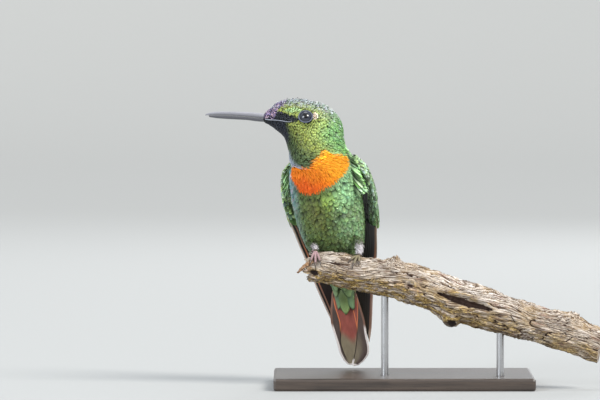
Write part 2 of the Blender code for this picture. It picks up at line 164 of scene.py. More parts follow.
@dataclass
class Basis:
    """Points of a form, the directions out of it, and the millimetres to a unit of each parameter."""

    point: Array
    outward: Array
    flow_rate: Array
    across_rate: Array


class Form(ABC):
    """A surface with one parameter along the feathers' run and one across it."""

    step: float = 1e-3

    @abstractmethod
    def place(self, along: Array, across: Array) -> Array:
        """Points of the surface, in millimetres.

        Args:
            along: parameters along the run.
            across: parameters across it.

        Returns:
            Points, in a last axis of three.
        """

    def basis(self, along: Array, across: Array) -> Basis:
        """Points and directions, from differences between near points.

        Args:
            along: parameters along the run.
            across: parameters across it.

        Returns:
            The basis, whose outward direction is that across crossed with that along.
        """
        point = self.place(along, across)
        run = (self.place(along + self.step, across) - self.place(along - self.step, across)) / 2
        side = (self.place(along, across + self.step) - self.place(along, across - self.step)) / 2
        flow_rate = np.linalg.norm(run, axis=-1) / self.step
        across_rate = np.linalg.norm(side, axis=-1) / self.step
        return Basis(point, unit(np.cross(unit(side), unit(run))), flow_rate, across_rate)


# Spine stations from the bill's base to the tail's tip: centre X, Y, Z, then the compass turn and
# the lift of the ring's back, in degrees. The CAD solids are lofted on the same spine.
SPINE = np.array([
    (-45.3, -10.0, 87.2, 0, 82),  # 0 base of the bill
    (-43.2, -10.0, 87.7, 0, 88),
    (-41.0, -10.0, 88.0, 0, 90),  # 2 forehead
    (-37.9, -10.0, 87.4, 0, 84),
    (-34.8, -10.0, 85.8, 0, 72),
    (-31.9, -10.0, 84.2, 0, 59),  # 5 crown
    (-29.7, -10.0, 81.8, 0, 47),
    (-28.2, -10.0, 78.9, 8, 37),  # 7 hind neck
    (-27.6, -10.0, 76.0, 25, 30),
    (-27.1, -9.5, 73.5, 50, 28),
    (-26.4, -7.5, 69.5, 68, 28),  # 10 shoulders
    (-25.0, -3.7, 62.5, 72, 30),
    (-23.8, 0.2, 55.8, 72, 30),  # 12 belly
    (-22.6, 4.0, 49.4, 72, 30),
    (-21.6, 7.0, 44.5, 72, 30),
    (-20.7, 9.2, 40.4, 72, 29),
    (-20.0, 11.2, 36.3, 72, 27),
    (-19.3, 13.2, 31.4, 72, 24),  # 17 root of the tail
    (-18.4, 15.2, 26.0, 72, 22),
    (-17.4, 17.4, 20.0, 72, 21),
    (-16.2, 19.9, 12.8, 72, 21),
    (-16.3, 22.3, 5.4, 72, 21),  # 21 tip of the tail
])


class Spine:
    """The bent line that body, wings and tail are measured from."""

    rows: Array = SPINE

    @classmethod
    def at(cls, station: Array) -> tuple[Array, Array, Array]:
        """Centres, left directions and back directions of the rings at some stations.

        Args:
            station: any array of stations.

        Returns:
            The three, with a last axis of three.
        """
        x, y, z, turn, lift = np.moveaxis(catmull(cls.rows, station), -1, 0)
        turn, lift = np.radians(turn), np.radians(lift)
        centre = np.stack([x, y, z], -1)
        left = np.stack([np.sin(turn), -np.cos(turn), 0 * turn], -1)
        back = np.stack([np.cos(turn) * np.cos(lift), np.sin(turn) * np.cos(lift), np.sin(lift)], -1)
        return centre, left, back

    @classmethod
    def place(cls, station: Array, out: Array, back_by: Array) -> Array:
        """Points that lie out to the left and back by some millimetres in the rings' planes."""
        centre, left, back = cls.at(station)
        return centre + left * np.asarray(out)[..., None] + back * np.asarray(back_by)[..., None]


@dataclass
class BodyForm(Form):
    """Outer form of head, neck and trunk: half ellipses for the back and for the belly.

    A point at station u and angle a from the middle of the back, towards the bird's left, is the
    spine's centre, plus the half width times sin a to the left, plus the half height times cos a
    to the back. Low swellings and hollows then move it in or out of its ring.
    """

    # Half sizes at each station: to the side, to the back and to the belly
    halves: Array = table(
        (1.5, 1.35, 1.35), (2.7, 2.7, 2.9), (4.2, 4.2, 4.9), (5.7, 5.7, 6.6), (6.8, 7.6, 8.6),
        (7.3, 9.4, 9.9), (7.6, 10.4, 10.6), (8.1, 10.4, 10.5), (8.8, 9.5, 9.8), (9.8, 8.9, 9.2),
        (10.9, 9.2, 9.6), (11.5, 9.5, 10.5), (11.3, 9.0, 10.5), (10.4, 8.1, 9.4), (9.0, 7.0, 7.9),
        (7.2, 5.8, 6.2), (5.4, 4.4, 4.5), (3.9, 3.0, 3.0), (3.2, 1.6, 1.9),
    )
    # Swellings: station, angle from the back in degrees, the reach of both, and the height
    swellings: Array = table(
        (3.6, 40, 0.9, 16, 0.35),  # brow
        (3.3, 82, 0.7, 14, -0.30),  # lores
        (5.6, 104, 1.3, 26, 0.40),  # cheek
        (1.9, 0, 1.1, 42, -0.72),  # forehead, under its ruffled feathers
        (3.6, 0, 1.4, 44, -0.40),  # crown, the same
        (12.6, 180, 1.6, 40, 0.35),  # belly
    )

    def place(self, along: Array, across: Array) -> Array:
        """Points at stations and angles in radians.

        Args:
            along: stations.
            across: angles from the back, in radians.

        Returns:
            Points in millimetres.
        """
        along, across = np.broadcast_arrays(along, across)
        side, back, belly = np.moveaxis(catmull(self.halves, along), -1, 0)
        from_back = np.abs(turned(across))
        swell = 0.0
        for station, angle, reach, breadth, raised in self.swellings:
            swell = swell + raised * bell(along, station, reach) * bell(from_back, angle, breadth)
        grown = 1 + swell / side
        rise = np.cos(across)
        height = np.where(rise > 0, back, belly)
        return Spine.place(along, side * np.sin(across) * grown, height * rise * grown)


@dataclass
class WingForm(Form):
    """The middle sheet of one folded wing, measured from the spine.

    A point at station t and chord share c lies on the straight line from the leading to the
    trailing edge in the spine's ring, bowed outwards by the camber times 4c(1 - c).
    """

    hand: int
    # Station, leading edge out and back, trailing edge out and back, thickness, camber
    rows: Array = table(
        (9.1, 11.0, 3.0, 9.7, 5.4, 1.0, 0.3), (9.62, 11.9, 2.2, 8.9, 6.9, 1.4, 0.8),
        (10.2, 14.2, 0.8, 7.9, 9.0, 2.4, 1.5), (11.07, 15.6, 0.8, 7.0, 10.6, 2.8, 1.6),
        (12.1, 15.6, 1.2, 6.2, 10.4, 2.4, 1.5), (13.3, 14.5, 1.8, 5.0, 9.4, 2.0, 1.3),
        (14.85, 13.0, 1.6, 4.0, 8.0, 1.5, 1.2), (16.5, 11.1, 1.2, 3.2, 6.8, 1.1, 1.1),
        (17.8, 9.3, 1.4, 2.8, 5.6, 0.9, 1.0), (19.0, 7.5, 2.3, 2.8, 5.0, 0.8, 0.8),
        (20.2, 4.9, 3.5, 3.9, 4.4, 0.6, 0.3),
    )

    def chord(self, station: Array) -> Array:
        """Length from the leading to the trailing edge."""
        columns = by_first_column(self.rows, station)
        return np.hypot(columns[..., 2] - columns[..., 0], columns[..., 3] - columns[..., 1])

    def raised(self, along: Array, across: Array, share: Array | float) -> Array:
        """Points moved outwards by a share of half the thickness.

        Args:
            along: stations.
            across: shares of the chord.
            share: of half the thickness, below 0 for inwards.

        Returns:
            The points.
        """
        along, across = np.broadcast_arrays(along, across)
        columns = np.moveaxis(by_first_column(self.rows, along), -1, 0)
        lead_out, lead_back, trail_out, trail_back, thick, camber = columns
        run_out, run_back = trail_out - lead_out, trail_back - lead_back
        bow = (camber * 4 * across * (1 - across) + thick / 2 * share) / np.hypot(run_out, run_back)
        out = lead_out + run_out * across + run_back * bow
        back = lead_back + run_back * across - run_out * bow
        return Spine.place(along, self.hand * out, back)

    def place(self, along: Array, across: Array) -> Array:
        """Points at stations and chord shares."""
        return self.raised(along, across, 0.0)


@dataclass
class WingArmForm(Form):
    """The rounded front part of a folded wing, all the way round it.

    The angle runs round the section: its cosine gives the chord share, (1 - cos)/2, and its sine
    to the power 1.1 the share of half the thickness, outwards where it is above 0.
    """

    wing: WingForm

    def place(self, along: Array, across: Array) -> Array:
        """Points at stations and angles in radians, 0 at the leading edge."""
        along, turn = np.broadcast_arrays(along, np.asarray(across) * -self.wing.hand)
        rise = np.sin(turn)
        return self.wing.raised(along, (1 - np.cos(turn)) / 2, np.sign(rise) * np.abs(rise) ** 1.1)

    def outer(self, across: Array) -> Array:
        """Share from 0 on the side towards the body to 1 outside and round the two edges."""
        turn = np.asarray(across) * -self.wing.hand
        return np.maximum(soft(np.sin(turn), -0.6, -0.2), soft(np.cos(turn), -0.05, 0.3))


@dataclass
class TailForm(Form):
    """The middle sheet of the closed tail: flat across, with edges that hang a little.

    A point at station t and x across lies x half widths to the left of the spine, sunk from it
    by the hang times x squared.
    """

    # Station, half width and hang
    rows: Array = table(
        (17.0, 3.9, 0.0), (17.5, 4.4, 0.2), (18.0, 5.0, 0.5), (18.5, 5.6, 0.9), (19.0, 5.9, 1.1),
        (19.5, 5.6, 1.2), (20.0, 5.0, 1.1), (20.4, 4.3, 0.9), (20.75, 3.0, 0.5), (20.95, 1.6, 0.2),
        (21.0, 0.6, 0.0),
    )

    def half_width(self, station: Array) -> Array:
        """Half width of the tail."""
        return by_first_column(self.rows, station)[..., 0]

    def place(self, along: Array, across: Array) -> Array:
        """Points at stations and millimetres to the left."""
        along, across = np.broadcast_arrays(along, across)
        width, hang = np.moveaxis(by_first_column(self.rows, along), -1, 0)
        return Spine.place(along, across, -hang * np.clip(across / width, -1, 1) ** 2)


@dataclass
class TubeForm(Form):
    """A round tube along a smooth path, thicker or thinner along its way.

    A point at share s and angle a is the path's centre at s, plus the radius times cos a along
    one normal and sin a along the other.
    """

    path: Array
    radii: Sequence[float] | Array

    def place(self, along: Array, across: Array) -> Array:
        """Points at shares of the path and angles in radians.

        Args:
            along: shares of the path's length.
            across: angles round it, in radians.

        Returns:
            Points in millimetres.
        """
        along, across = np.broadcast_arrays(along, across)
        share = np.linspace(0, 1, len(self.path))
        radii = np.interp(share, np.linspace(0, 1, len(self.radii)), self.radii)
        rows = np.column_stack([self.path, radii])
        at = along * (len(rows) - 1)
        here = catmull(rows, at)
        run = catmull(self.path, at + 0.02) - catmull(self.path, at - 0.02)
        first = unit(np.cross(run, (0.0, 1.0, 0.35)))
        second = unit(np.cross(run, first))
        away = first * np.cos(across)[..., None] + second * np.sin(across)[..., None]
        return here[..., :3] + here[..., 3:] * away


@dataclass
class PerchForm(Form):
    """The branch: a bent middle line with knots, ridges and dents round it.

    A point at X and an angle from the top towards the front is the middle line's centre there,
    plus the radius in that direction. The radius is the table's, plus low waves and the knots,
    each a bell of its own length, breadth and height.
    """

    # X, Z and radius of the middle line
    rows: Array = table(
        (-30.4, 38.9, 4.5), (-24.0, 38.35, 5.1), (-14.2, 36.75, 5.4), (-5.5, 35.3, 5.6),
        (1.9, 33.75, 6.0), (7.1, 32.1, 6.1), (14.8, 29.2, 6.5), (21.3, 27.3, 6.5),
        (34.2, 23.3, 5.9), (47.1, 19.3, 5.6), (63.0, 13.9, 5.3),
    )
    # X, angle in degrees, length, breadth in degrees and height
    knots: Array = table(
        (17.5, 162, 3.2, 30, 2.6), (20.0, 88, 6.0, 15, -1.5), (-4.0, 10, 1.8, 40, 1.1),
        (52.5, 5, 3.6, 40, 1.3), (29.0, 205, 5.0, 35, 0.6),
    )
    yaw: float = math.radians(8)
    foot: tuple[float, float] = (-14.0, -7.5)  # X and Y where the feet grip

    def middle(self, x: Array) -> tuple[Array, Array]:
        """Centres and radii of the middle line."""
        z, radius = np.moveaxis(by_first_column(self.rows, x), -1, 0)
        y = self.foot[1] - (x - self.foot[0]) * math.tan(self.yaw)
        return np.stack([x, y, z], -1), radius

    def radius(self, x: Array, angle: Array) -> Array:
        """Radius of the bark with its low waves and knots.

        Args:
            x: places along the branch.
            angle: angles from its top, in radians.

        Returns:
            Millimetres.
        """
        waves = 0.16 * np.sin(3 * angle + 0.16 * x) + 0.12 * np.sin(7 * angle - 0.11 * x + 1)
        bark = self.middle(x)[1] + waves + 0.10 * np.sin(0.55 * x + 2 * angle)
        for knot_x, towards, length, breadth, height in self.knots:
            bark = bark + height * bell(x, knot_x, length) * bell(turned(angle, towards), 0, breadth)
        return bark

    def place(self, along: Array, across: Array) -> Array:
        """Points at X and at angles in radians."""
        return self.raised(along, across, 0.0)

    def raised(self, along: Array, across: Array, lift: Array | float) -> Array:
        """Points off the bark.

        Args:
            along: their X.
            across: angles in radians.
            lift: millimetres off the bark.

        Returns:
            The points.
        """
        along, across = np.broadcast_arrays(np.asarray(along, float), np.asarray(across, float))
        run = unit(self.middle(along + 0.5)[0] - self.middle(along - 0.5)[0])
        front = unit(np.cross(run, (0.0, 0.0, 1.0)))
        top = np.cross(front, run)
        away = top * np.cos(across)[..., None] + front * np.sin(across)[..., None]
        return self.middle(along)[0] + away * (self.radius(along, across) + lift)[..., None]


# ---------------------------------------------------------------------------------------------
# Meshes


@dataclass
class Sheet:
    """Arrays of one mesh before it is written: points in millimetres and faces of even corners."""

    points: Array
    faces: list[Array]
    maps: dict[str, Array] = field(default_factory=dict)
    tints: Array | None = None
    marks: dict[str, Array] = field(default_factory=dict)

    @classmethod
    def rings(
        cls, points: Array, maps: dict[str, Array] | None = None, tints: Array | Row | None = None,
        marks: dict[str, Array | float] | None = None,
    ) -> "Sheet":
        """A closed sheet from a grid of rings.

        Args:
            points: one row of points to a ring.
            maps: grids of map coordinates.
            tints: a grid of colours, or one colour.
            marks: numbers for all points, for each ring or for each point.

        Returns:
            The sheet, with a flat face at both ends.
        """
        shape = points.shape[:2]
        return cls(
            points.reshape(-1, 3), rings_to_faces(*shape),
            {key: grid.reshape(-1, 2) for key, grid in (maps or {}).items()},
            None if tints is None else np.broadcast_to(tints, (*shape, 3)).reshape(-1, 3),
            {key: np.broadcast_to(values, shape).ravel() for key, values in (marks or {}).items()},
        )

    @classmethod
    def join(cls, sheets: list["Sheet"]) -> "Sheet":
        """Sheets with the same maps and marks, as one.

        Args:
            sheets: at least one.

        Returns:
            The whole sheet.
        """
        starts = np.cumsum([0] + [len(sheet.points) for sheet in sheets])
        return cls(
            np.concatenate([sheet.points for sheet in sheets]),
            [face + start for sheet, start in zip(sheets, starts) for face in sheet.faces],
            {key: np.concatenate([sheet.maps[key] for sheet in sheets]) for key in sheets[0].maps},
            None if sheets[0].tints is None else np.concatenate([sheet.tints for sheet in sheets]),
            {key: np.concatenate([sheet.marks[key] for sheet in sheets]) for key in sheets[0].marks},
        )


def rings_to_faces(rows: int, count: int, around: bool = True, ends: bool = True) -> list[Array]:
    """Faces of a grid of rings.

    Args:
        rows: how many rings.
        count: points to a ring.
        around: whether each ring closes on itself.
        ends: whether the first and the last ring are closed with a flat face.

    Returns:
        Arrays of faces, one for each number of corners.
    """
    corner = np.arange(rows * count).reshape(rows, count)
    after = np.roll(corner, -1, 1)
    if not around:
        corner, after = corner[:, :-1], after[:, :-1]
    quads = np.stack([corner[:-1], after[:-1], after[1:], corner[1:]], -1).reshape(-1, 4)
    if not ends:
        return [quads]
    return [quads, corner[:1, ::-1], corner[-1:]]


def write_piece(
    name: str, sheet: Sheet, finish: "Finish", replaces: Sequence[str] = (), outward: bool = False,
) -> bpy.types.Object:
    """Put a sheet's arrays into a mesh, dress it and ride it on the CAD's one body.

    Args:
        name: the piece's name.
        sheet: its arrays.
        finish: the finish it wears.
        replaces: CAD nodes it stands for.
        outward: whether the faces' sides are worked out again, for a shape of doubtful winding.

    Returns:
        The object, at the origin.
    """
    mesh = bpy.data.meshes.new(name)
    corners = np.concatenate([face.ravel() for face in sheet.faces]).astype(np.int32)
    sizes = np.concatenate([np.full(len(face), face.shape[1]) for face in sheet.faces])
    mesh.vertices.add(len(sheet.points))
    mesh.vertices.foreach_set("co", (sheet.points * MM).astype(np.float32).ravel())
    mesh.loops.add(len(corners))
    mesh.loops.foreach_set("vertex_index", corners)
    mesh.polygons.add(len(sizes))
    mesh.polygons.foreach_set("loop_start", (np.cumsum(sizes) - sizes).astype(np.int32))
    mesh.update(calc_edges=True)
    mesh.shade_smooth()
    for key, values in sheet.maps.items():
        mesh.uv_layers.new(name=key).data.foreach_set("uv", values[corners].astype(np.float32).ravel())
    if sheet.tints is not None:
        tint = mesh.color_attributes.new("Tint", "FLOAT_COLOR", "POINT")
        coloured = np.column_stack([np.clip(sheet.tints, 0, 1), np.ones(len(sheet.points))])
        tint.data.foreach_set("color", coloured.astype(np.float32).ravel())
    for key, values in sheet.marks.items():
        mesh.attributes.new(key, "FLOAT", "POINT").data.foreach_set("value", values.astype(np.float32))
    if outward:
        turned = bmesh.new()
        turned.from_mesh(mesh)
        bmesh.ops.recalc_face_normals(turned, faces=turned.faces)
        turned.to_mesh(mesh)
        turned.free()
    thing = bpy.data.objects.new(name, mesh)
    bpy.context.scene.collection.objects.link(thing)
    mesh.materials.append(finish.material())
    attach(thing, "root")
    if replaces:
        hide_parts(*replaces)
    triangles = int((sizes - 2).sum())
    LOG.info("%s: %d triangles%s", name, triangles, f", for {', '.join(replaces)}" if replaces else "")
    return thing


# ---------------------------------------------------------------------------------------------
# Finishes


class Nodes:
    """Adds and joins the nodes of one material."""

    def __init__(self, name: str) -> None:
        """Start a material that holds a Principled shader.

        Args:
            name: the material's name.
        """
        self.made = bpy.data.materials.new(name)
        self.made.use_nodes = True
        self.tree = self.made.node_tree
        self.shader = self.tree.nodes["Principled BSDF"]

    def node(self, kind: str, inputs: dict | None = None, **settings: object) -> bpy.types.Node:
        """A node with settings, whose inputs are numbers, colours or other nodes' outputs.

        Args:
            kind: the node's type.
            inputs: by socket name or number.
            **settings: the node's own settings.

        Returns:
            The node.
        """
        made = self.tree.nodes.new(kind)
        for key, value in settings.items():
            setattr(made, key, value)
        for key, value in (inputs or {}).items():
            self.feed(made.inputs[key], value)
        return made

    def feed(self, socket: Socket, value: object) -> None:
        """Link a socket to another node's output, or set its value.

        Args:
            socket: the input.
            value: a number, a colour, a vector or an output.
        """
        if isinstance(value, Socket):
            self.tree.links.new(value, socket)
        elif isinstance(value, (tuple, list)) and len(value) == 3 and socket.type == "RGBA":
            socket.default_value = (*value, 1.0)
        else:
            socket.default_value = value

    def sum(self, operation: str, *values: object) -> Socket:
        """The result of a Math node."""
        return self.node("ShaderNodeMath", dict(enumerate(values)), operation=operation).outputs[0]

    def step(self, value: object, start: float, end: float) -> Socket:
        """A soft step from 0 at start to 1 at end."""
        inputs = {"Value": value, "From Min": start, "From Max": end}
        return self.node("ShaderNodeMapRange", inputs, interpolation_type="SMOOTHSTEP").outputs[0]

    def blend(self, share: object, first: object, second: object, how: str = "MIX") -> Socket:
        """Two colours mixed by a share.

        Args:
            share: of the second colour.
            first: a colour or an output.
            second: the same.
            how: the way they mix.

        Returns:
            The mixed colour's output.
        """
        made = self.node("ShaderNodeMix", data_type="RGBA", blend_type=how)
        for socket, value in zip((made.inputs[0], made.inputs[6], made.inputs[7]), (share, first, second)):
            self.feed(socket, value)
        return made.outputs[2]

    def noise(self, place: object, scale: float, detail: float = 2.0, rough: float = 0.5) -> Socket:
        """Noise from 0 to 1 at a scale to the metre, or to the map's own unit."""
        inputs = {"Vector": place, "Scale": scale, "Detail": detail, "Roughness": rough}
        return self.node("ShaderNodeTexNoise", inputs).outputs["Fac"]

    def position(self, stretch: Triple = (1, 1, 1)) -> Socket:
        """Object coordinates, stretched by a Mapping node."""
        here = self.node("ShaderNodeTexCoord").outputs["Object"]
        return self.node("ShaderNodeMapping", {"Vector": here, "Scale": stretch}).outputs[0]

    def map(self, name: str, stretch: Triple = (1, 1, 1)) -> Socket:
        """A UV map's coordinates, stretched by a Mapping node."""
        here = self.node("ShaderNodeUVMap", uv_map=name).outputs[0]
        return self.node("ShaderNodeMapping", {"Vector": here, "Scale": stretch}).outputs[0]

    def split(self, vector: object) -> Socket:
        """The parts of a vector, as a node's outputs."""
        return self.node("ShaderNodeSeparateXYZ", {0: vector}).outputs

    def attribute(self, name: str, output: str = "Color") -> Socket:
        """A mesh attribute."""
        return self.node("ShaderNodeAttribute", attribute_name=name).outputs[output]

    def bump(self, height: object, distance: float, strength: float, normal: object = None) -> Socket:
        """A normal bumped by a height, at a distance in metres.

        Args:
            height: an output.
            distance: of the bump, in metres.
            strength: from 0 to 1.
            normal: an output to bump further.

        Returns:
            The normal's output.
        """
        made = self.node("ShaderNodeBump", {"Height": height, "Distance": distance, "Strength": strength})
        if normal is not None:
            self.feed(made.inputs["Normal"], normal)
        return made.outputs[0]

    def dress(self, **inputs: object) -> bpy.types.Material:
        """Feed the shader's sockets, named in words joined by underscores, and give the material.

        Args:
            **inputs: values or outputs by socket name.

        Returns:
            The material.
        """
        for key, value in inputs.items():
            wanted = key.replace("_", " ").title().replace("Ior", "IOR")
            self.feed(self.shader.inputs[wanted], value)
        return self.made


@dataclass(frozen=True)
class Finish(ABC):
    """The look of one kind of surface."""

    name: str

    @abstractmethod
    def build(self, nodes: Nodes) -> bpy.types.Material:
        """Add the finish's nodes.

        Args:
            nodes: the new material's nodes.

        Returns:
            The material.
        """

    def material(self) -> bpy.types.Material:
        """The finish's material, made once."""
        return bpy.data.materials.get(self.name) or self.build(Nodes(self.name))


@dataclass(frozen=True)
class PlumeFinish(Finish):
    """Feathers: the piece's own tint with painted shade towards the quill and a rim brightened as a painted
    highlight, with barbs and a glittering web.
    """

    metallic: float = 0.25
    roughness: float = 0.42
    # Painted shade: the hidden base of each feather is darkened for the shade where feathers overlap
    painted_gap_shade: float = 0.22  # brightness of the hidden half, of the tip's
    # Painted highlight: above 1 the rim of each web is brightened for the light catching it; below 1 it is a
    # dark edge
    rim_highlight_and_dark_edge: float = 1.25  # brightness of the web's rim at the tip and the sides
    glitter: float = 0.3  # how much the web's brightness varies
    barbs: float = 16.0  # to a vane's length

    def build(self, nodes: Nodes) -> bpy.types.Material:
        """Tint times the vane's painted shade and painted rim highlight, with slanted barbs as bump.

        Args:
            nodes: the new material's nodes.

        Returns:
            The material.
        """
        vane = nodes.split(nodes.map("Vane"))
        from_middle = nodes.sum("ABSOLUTE", nodes.sum("SUBTRACT", vane[0], 0.5))
        # Painted shade towards the quill
        outer = nodes.step(vane[1], 0.35, 0.85)
        shade = nodes.sum("MULTIPLY_ADD", outer, 1 - self.painted_gap_shade, self.painted_gap_shade)
        # Painted highlight on the rim, at the tip and the sides
        rim = nodes.sum("MAXIMUM", nodes.step(vane[1], 0.86, 0.98), nodes.step(from_middle, 0.34, 0.48))
        rim_highlight_and_dark_edge_factor = nodes.sum("MULTIPLY_ADD", rim, self.rim_highlight_and_dark_edge - 1, 1.0)
        web = nodes.noise(nodes.position(), 2600, 1.0)
        varied = nodes.sum("MULTIPLY_ADD", web, self.glitter * 2, 1 - self.glitter)
        whole = nodes.sum("MULTIPLY", nodes.sum("MULTIPLY", shade, rim_highlight_and_dark_edge_factor), varied)
        colour = nodes.blend(1.0, nodes.attribute("Tint"), whole, "MULTIPLY")
        slant = nodes.sum("SUBTRACT", vane[1], nodes.sum("MULTIPLY", from_middle, 0.7))
        ridges = nodes.sum("SINE", nodes.sum("MULTIPLY", slant, self.barbs * 2 * math.pi))
        rough = nodes.sum("MULTIPLY_ADD", web, 0.2, self.roughness - 0.1)
        return nodes.dress(
            base_color=colour, metallic=self.metallic, roughness=rough,
            normal=nodes.bump(ridges, 0.00003, 0.3),
        )


@dataclass(frozen=True)
class QuillFinish(Finish):
    """Long flight and tail feathers: a smooth tinted vane, a shaft, fine barbs and a pale rim."""

    shaft_tint: Triple = (0.20, 0.13, 0.09)
    shaft_tip_tint: Triple = (0.06, 0.04, 0.03)
    shaft_half: float = 0.08  # half its width, in millimetres of the Shaft mark
    rim_tint: Triple = (0.66, 0.52, 0.45)
    side_tint: Triple = (0.66, 0.52, 0.45)
    rim: float = 0.3  # width of the pale rim, in millimetres of the Rim mark
    rim_from: float = 0.1  # share of the length where the side's tint gives way to the rim's
    metallic: float = 0.1

    def build(self, nodes: Nodes) -> bpy.types.Material:
        """Tint, then the shaft's line and the pale rim over it, and slanted barbs as bump.

        Args:
            nodes: the new material's nodes.

        Returns:
            The material.
        """
        vane = nodes.split(nodes.map("Vane"))
        to_shaft = nodes.sum("ABSOLUTE", nodes.attribute("Shaft", "Fac"))
        slant = nodes.sum("SUBTRACT", nodes.sum("MULTIPLY", vane[1], 40.0), to_shaft)
        barbs = nodes.sum("SINE", nodes.sum("MULTIPLY", slant, 26.0))
        streaks = nodes.noise(nodes.position((900, 900, 160)), 1.0, 3.0)
        faint = nodes.sum("MULTIPLY", barbs, 0.05)
        shade = nodes.sum("ADD", nodes.sum("MULTIPLY_ADD", streaks, 0.7, 0.65), faint)
        colour = nodes.blend(1.0, nodes.attribute("Tint"), shade, "MULTIPLY")
        within = nodes.step(nodes.attribute("Rim", "Fac"), self.rim * 0.75, self.rim * 1.05)
        rim = nodes.sum("SUBTRACT", 1.0, within)
        outer = nodes.step(vane[1], self.rim_from, self.rim_from + 0.07)
        rim_tint = nodes.blend(outer, self.side_tint, self.rim_tint)
        colour = nodes.blend(rim, colour, rim_tint)
        shaft = nodes.sum("SUBTRACT", 1.0, nodes.step(to_shaft, self.shaft_half, self.shaft_half * 1.8))
        middle = nodes.sum("MULTIPLY", nodes.step(vane[1], 0.2, 0.3), nodes.step(vane[1], 0.68, 0.56))
        shaft_tint = nodes.blend(middle, self.shaft_tip_tint, self.shaft_tint)
        colour = nodes.blend(nodes.sum("MULTIPLY", shaft, nodes.step(vane[1], 0.97, 0.9)), colour, shaft_tint)
        height = nodes.sum("ADD", nodes.sum("MULTIPLY", barbs, 0.25), shaft)
        return nodes.dress(
            base_color=colour, metallic=self.metallic, normal=nodes.bump(height, 0.00006, 0.7),
            roughness=nodes.sum("MULTIPLY_ADD", streaks, 0.2, 0.36),
        )


@dataclass(frozen=True)
class SkinFinish(Finish):
    """Skin and short down under the feathers: the markings, darker, with pores and creases."""

    def build(self, nodes: Nodes) -> bpy.types.Material:
        """Tint darkened by two noises, with down as a fine bump.

        Args:
            nodes: the new material's nodes.

        Returns:
            The material.
        """
        down = nodes.noise(nodes.position(), 1800, 4.0, 0.7)
        patches = nodes.sum("ADD", nodes.noise(nodes.position(), 260, 2.0), 0.5)
        shade = nodes.sum("MULTIPLY", nodes.sum("MULTIPLY_ADD", down, 0.7, 0.2), patches)
        colour = nodes.blend(1.0, nodes.attribute("Tint"), shade, "MULTIPLY")
        return nodes.dress(base_color=colour, roughness=0.75, normal=nodes.bump(down, 0.0001, 0.8))


@dataclass(frozen=True)
class HornFinish(Finish):
    """Bill and claws: dark horn with long fine growth lines, with a painted highlight along the bill's top
    and the claws' roots.
    """

    base: Triple = (0.10, 0.10, 0.115)
    # Colour of the painted highlight
    pale: Triple = (0.36, 0.36, 0.40)
    roughness: float = 0.32

    def build(self, nodes: Nodes) -> bpy.types.Material:
        """The dark grey and the painted highlight's grey, mixed by the painted highlight mark and long noise.

        Args:
            nodes: the new material's nodes.

        Returns:
            The material.
        """
        lines = nodes.noise(nodes.position((120, 2200, 2200)), 1.0, 3.0)
        cloud = nodes.noise(nodes.position(), 420, 3.0)
        streaks = nodes.sum("MULTIPLY_ADD", lines, 0.7, 0.6)
        share = nodes.sum("MULTIPLY", nodes.attribute("Pale", "Fac"), streaks)
        colour = nodes.blend(share, self.base, self.pale)
        colour = nodes.blend(nodes.sum("MULTIPLY", cloud, 0.35), colour, tuple(c * 0.45 for c in self.base))
        return nodes.dress(
            base_color=colour, roughness=nodes.sum("MULTIPLY_ADD", cloud, 0.25, self.roughness - 0.1),
            coat_weight=0.25, coat_roughness=0.2, normal=nodes.bump(lines, 0.00003, 0.5),
        )


@dataclass(frozen=True)
class EyeFinish(Finish):
    """The eyeball: a black pupil, a very dark brown iris with fine rays tinted blue-grey as a painted sky
    reflection, under a wet clear front.
    """

    def build(self, nodes: Nodes) -> bpy.types.Material:
        """Colour by the Ring mark, which runs from 0 in the pupil's middle to 1 at the rim.

        Args:
            nodes: the new material's nodes.

        Returns:
            The material.
        """
        ring = nodes.attribute("Ring", "Fac")
        rays = nodes.noise(nodes.position(), 3500, 2.0)
        # Painted reflection: the iris greys are bluish, for the sky seen in the eye
        iris = nodes.blend(rays, (0.034, 0.040, 0.062), (0.012, 0.014, 0.022))
        colour = nodes.blend(nodes.step(ring, 0.50, 0.56), (0.001, 0.001, 0.002), iris)
        colour = nodes.blend(nodes.step(ring, 0.86, 0.97), colour, (0.003, 0.004, 0.007))
        return nodes.dress(
            base_color=colour, roughness=0.4, coat_weight=1.0, coat_roughness=0.04, coat_ior=1.62,
            specular_ior_level=0.0,
        )


@dataclass(frozen=True)
class LidFinish(Finish):
    """Bare skin of eyelids, gape and toes: a tint with small beads and creases."""

    roughness: float = 0.5
    beads: float = 2600.0

    def build(self, nodes: Nodes) -> bpy.types.Material:
        """Tint, darker between the beads of a Voronoi pattern.

        Args:
            nodes: the new material's nodes.

        Returns:
            The material.
        """
        inputs = {"Vector": nodes.position(), "Scale": self.beads}
        cells = nodes.node("ShaderNodeTexVoronoi", inputs).outputs[0]
        grain = nodes.noise(nodes.position(), 5200, 2.0)
        between = nodes.sum("MULTIPLY", cells, 0.45)
        shade = nodes.sum("SUBTRACT", nodes.sum("MULTIPLY_ADD", grain, 0.5, 0.95), between)
        colour = nodes.blend(1.0, nodes.attribute("Tint"), shade, "MULTIPLY")
        raised = nodes.bump(nodes.sum("SUBTRACT", 1.0, cells), 0.00008, 0.7)
        return nodes.dress(base_color=colour, roughness=self.roughness, normal=raised)


